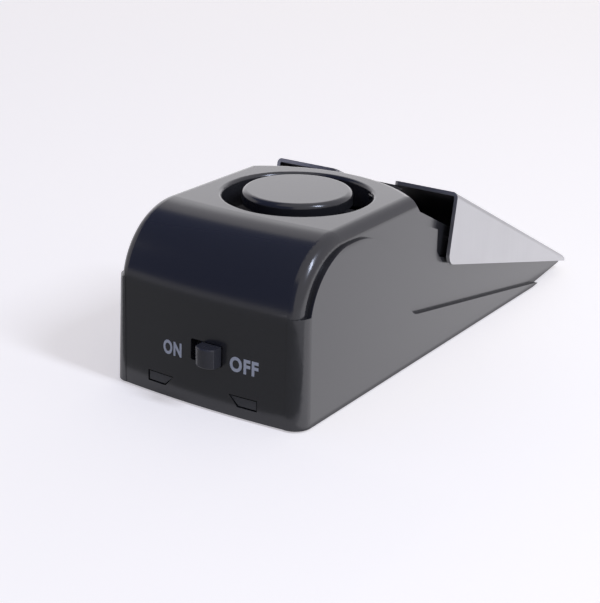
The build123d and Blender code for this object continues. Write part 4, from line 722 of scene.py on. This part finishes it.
class ALARM_OT_stage(Operator):
    """World, floor, panels, softboxes and camera"""
    bl_idname = "alarm.stage"
    bl_label = "Stage"

    def execute(self, context):
        stage = context.scene.alarm_stage
        scene = context.scene
        scene.view_settings.view_transform = "Standard"
        pale = linear("#F5F2F9")
        self.light_world(scene, pale, stage.fill)
        self.lay_floor(scene, pale, stage.floor_glow)
        self.hang_panels(scene)
        self.set_softboxes(scene)
        self.place_camera(scene, stage)
        return {"FINISHED"}

    def light_world(self, scene, pale, strength):
        """A pale backdrop where it is seen, and a dimmer fill light from all round."""
        world = scene.world or bpy.data.worlds.new("Studio")
        scene.world = world
        world.use_nodes = True
        tree = world.node_tree
        tree.nodes.clear()
        shown = self.shown_directly(tree)
        seen = add(tree, "ShaderNodeBackground", {"Color": pale, "Strength": 1.0})
        fill = add(tree, "ShaderNodeBackground", {"Color": linear("#F7F5F4"), "Strength": strength})
        either = add(tree, "ShaderNodeMixShader", {0: shown, 1: fill.outputs[0], 2: seen.outputs[0]})
        add(tree, "ShaderNodeOutputWorld", {0: either.outputs[0]})

    def lay_floor(self, scene, pale, strength):
        """Matt paper sweep: near white, with a tooth too fine to see and a small glow of its own colour."""
        side = 12.0
        made, tree, place = material("Matt paper floor")
        grain = add(tree, "ShaderNodeTexNoise", {"Vector": place, "Scale": per(1.2)})
        relief = add(tree, "ShaderNodeBump", {
            "Height": grain.outputs["Fac"], "Strength": 0.02, "Distance": 0.02 * MM})
        paper = add(tree, "ShaderNodeBsdfPrincipled", {
            "Base Color": linear("#F2EDE2"), "Roughness": 0.95, "Normal": relief.outputs["Normal"]})
        glow = add(tree, "ShaderNodeEmission", {"Color": pale, "Strength": strength})
        dark = add(tree, "ShaderNodeEmission", {"Color": (0, 0, 0, 1), "Strength": 0.0})
        seen = add(tree, "ShaderNodeMixShader", {0: self.shown_directly(tree), 1: dark.outputs[0], 2: glow.outputs[0]})
        both = add(tree, "ShaderNodeAddShader", {0: paper.outputs[0], 1: seen.outputs[0]})
        add(tree, "ShaderNodeOutputMaterial", {0: both.outputs[0]})
        self.card(scene, "Floor", made, side, side, Matrix.Identity(4))

    def hang_panels(self, scene):
        """Deep blue panels over and before the alarm, and a card on the floor, all out of the camera's sight.

        The panels are dim enough to keep the tall end dark, and reflect a little blue into its curved top.
        The card is a neutral grey sheet that glows a little, and only reflections show it: it is painted shade, a
        darker floor before the tall end for the shell to mirror.
        """
        blue = self.cloth("Deep blue panel", "#1E2536", "#58628F")
        grey = self.cloth("Grey card of painted shade", "#262626", "#949494")
        overhead = Matrix.Translation((-0.80, -0.35, 0.95))
        before = Matrix.Translation((-0.5, -0.95, 0.5)) @ Matrix.Rotation(math.pi / 2, 4, "X")
        # The card below is painted shade: a grey sheet that glows a little, seen only in reflections, lying on the
        # floor before the tall end
        beneath = Matrix.Translation((-0.09, CAD_BOX[0].y - 0.111, 0.001))
        for name, made, wide, deep, place, casts_shade in (
            ("Overhead panel", blue, 1.1, 1.5, overhead, True),
            ("Front panel", blue, 1.9, 0.9, before, True),
            ("Painted shade card", grey, 0.30, 0.22, beneath, False),
        ):
            panel = self.card(scene, name, made, wide, deep, place)
            panel.visible_camera = False
            panel.visible_diffuse = panel.visible_shadow = casts_shade

    def set_softboxes(self, scene):
        """Rear light for the top, a small key for the bright line down the corner, a low one for the side panel."""
        for name, spot, aim, wide, tall, power, colour in (
            ("Rear softbox", (-0.75, 1.35, 0.50), (0, 0, 0.02), 2.2, 1.0, 4.2, "#FFFFFF"),
            ("Key softbox", (0.57, -0.07, 0.56), (0, -0.03, 0.02), 0.10, 0.27, 2.8, "#DDE6FF"),
            ("Low side softbox", (0.152, 0.13, 0.0003), (0.152, 0.13, 1.0), 0.256, 0.38, 0.22, "#FDFBFF"),
        ):
            lamp = bpy.data.lights.new(name, "AREA")
            lamp.shape = "RECTANGLE"
            lamp.size, lamp.size_y, lamp.energy = wide, tall, power
            lamp.color = linear(colour)[:3]
            holder = bpy.data.objects.new(name, lamp)
            holder.location = spot
            holder.rotation_euler = (Vector(spot) - Vector(aim)).to_track_quat("Z", "Y").to_euler()
            holder.visible_camera = False
            scene.collection.objects.link(holder)

    def place_camera(self, scene, stage):
        """The camera at the photograph's viewing angle."""
        target = Vector((5.30, -31.45, 15.4)) * MM
        lens = bpy.data.cameras.new("Camera")
        lens.sensor_fit = "HORIZONTAL"
        lens.sensor_width = 36.0
        lens.lens = stage.lens
        lens.clip_start, lens.clip_end = 0.01, 20.0
        a, e, r = stage.azimuth, stage.pitch, stage.roll
        back = Vector((math.sin(a) * math.cos(e), -math.cos(a) * math.cos(e), math.sin(e)))
        right = Vector((math.cos(a), math.sin(a), 0))
        up = back.cross(right)
        side = math.cos(r) * right + math.sin(r) * up
        top = -math.sin(r) * right + math.cos(r) * up
        turn = Matrix((side, top, back)).transposed().to_4x4()
        camera = bpy.data.objects.new("Camera", lens)
        camera.matrix_world = Matrix.Translation(target + back * stage.distance) @ turn
        scene.collection.objects.link(camera)
        scene.camera = camera

    def shown_directly(self, tree):
        """1 for rays from the camera, from a mirror-like surface or through glass, which show the backdrop."""
        ray = add(tree, "ShaderNodeLightPath")
        either = add(tree, "ShaderNodeMath", {
            0: ray.outputs["Is Camera Ray"], 1: ray.outputs["Is Glossy Ray"]}, operation="MAXIMUM")
        return add(tree, "ShaderNodeMath", {
            0: either.outputs[0], 1: ray.outputs["Is Transmission Ray"]}, operation="MAXIMUM").outputs[0]

    def cloth(self, name, colour, glow):
        """A woven matt cloth that also gives off a little light."""
        made, tree, place = material(name)
        weave = add(tree, "ShaderNodeTexNoise", {"Vector": place, "Scale": per(4.0)})
        relief = add(tree, "ShaderNodeBump", {"Height": weave.outputs["Fac"], "Strength": 0.2, "Distance": 0.5 * MM})
        return finished(made, tree, {
            "Base Color": linear(colour), "Roughness": 1.0, "Normal": relief.outputs["Normal"],
            "Emission Color": linear(glow), "Emission Strength": 1.0})

    def card(self, scene, name, made, wide, deep, place):
        """A flat rectangle of the stage."""
        work = bmesh.new()
        bmesh.ops.create_grid(
            work, x_segments=1, y_segments=1, size=0.5, matrix=place @ Matrix.Diagonal((wide, deep, 1, 1)))
        mesh = bpy.data.meshes.new(name)
        work.to_mesh(mesh)
        work.free()
        mesh.materials.append(made)
        holder = bpy.data.objects.new(name, mesh)
        scene.collection.objects.link(holder)
        return holder


class ALARM_PT_panel(Panel):
    """The steps that dress the alarm, in the order in which they run"""
    bl_idname = "ALARM_PT_panel"
    bl_label = "Door stop alarm"
    bl_space_type = "VIEW_3D"
    bl_region_type = "UI"
    bl_category = "Door stop alarm"

    def draw(self, context):
        for step in STEPS:
            self.layout.operator(step.bl_idname)


STEPS = (
    ALARM_OT_stage, ALARM_OT_plastics, ALARM_OT_metals, ALARM_OT_soft_finishes, ALARM_OT_board_finishes,
    ALARM_OT_words, ALARM_OT_screws, ALARM_OT_spring, ALARM_OT_coil,
)
GROUPS = (AlarmFinish, AlarmSizes, AlarmStage)


def register():
    for each in GROUPS + STEPS + (ALARM_PT_panel,):
        bpy.utils.register_class(each)
    bpy.types.Scene.alarm_finish = PointerProperty(type=AlarmFinish)
    bpy.types.Scene.alarm_sizes = PointerProperty(type=AlarmSizes)
    bpy.types.Scene.alarm_stage = PointerProperty(type=AlarmStage)


def unregister():
    del bpy.types.Scene.alarm_stage
    del bpy.types.Scene.alarm_sizes
    del bpy.types.Scene.alarm_finish
    for each in reversed(GROUPS + STEPS + (ALARM_PT_panel,)):
        bpy.utils.unregister_class(each)


def main():
    register()
    bpy.ops.alarm.stage()
    bpy.ops.alarm.plastics()
    bpy.ops.alarm.metals()
    bpy.ops.alarm.soft_finishes()
    bpy.ops.alarm.board_finishes()
    bpy.ops.alarm.words()
    bpy.ops.alarm.screws()
    bpy.ops.alarm.spring()
    bpy.ops.alarm.coil()


if __name__ == "__main__":
    main()
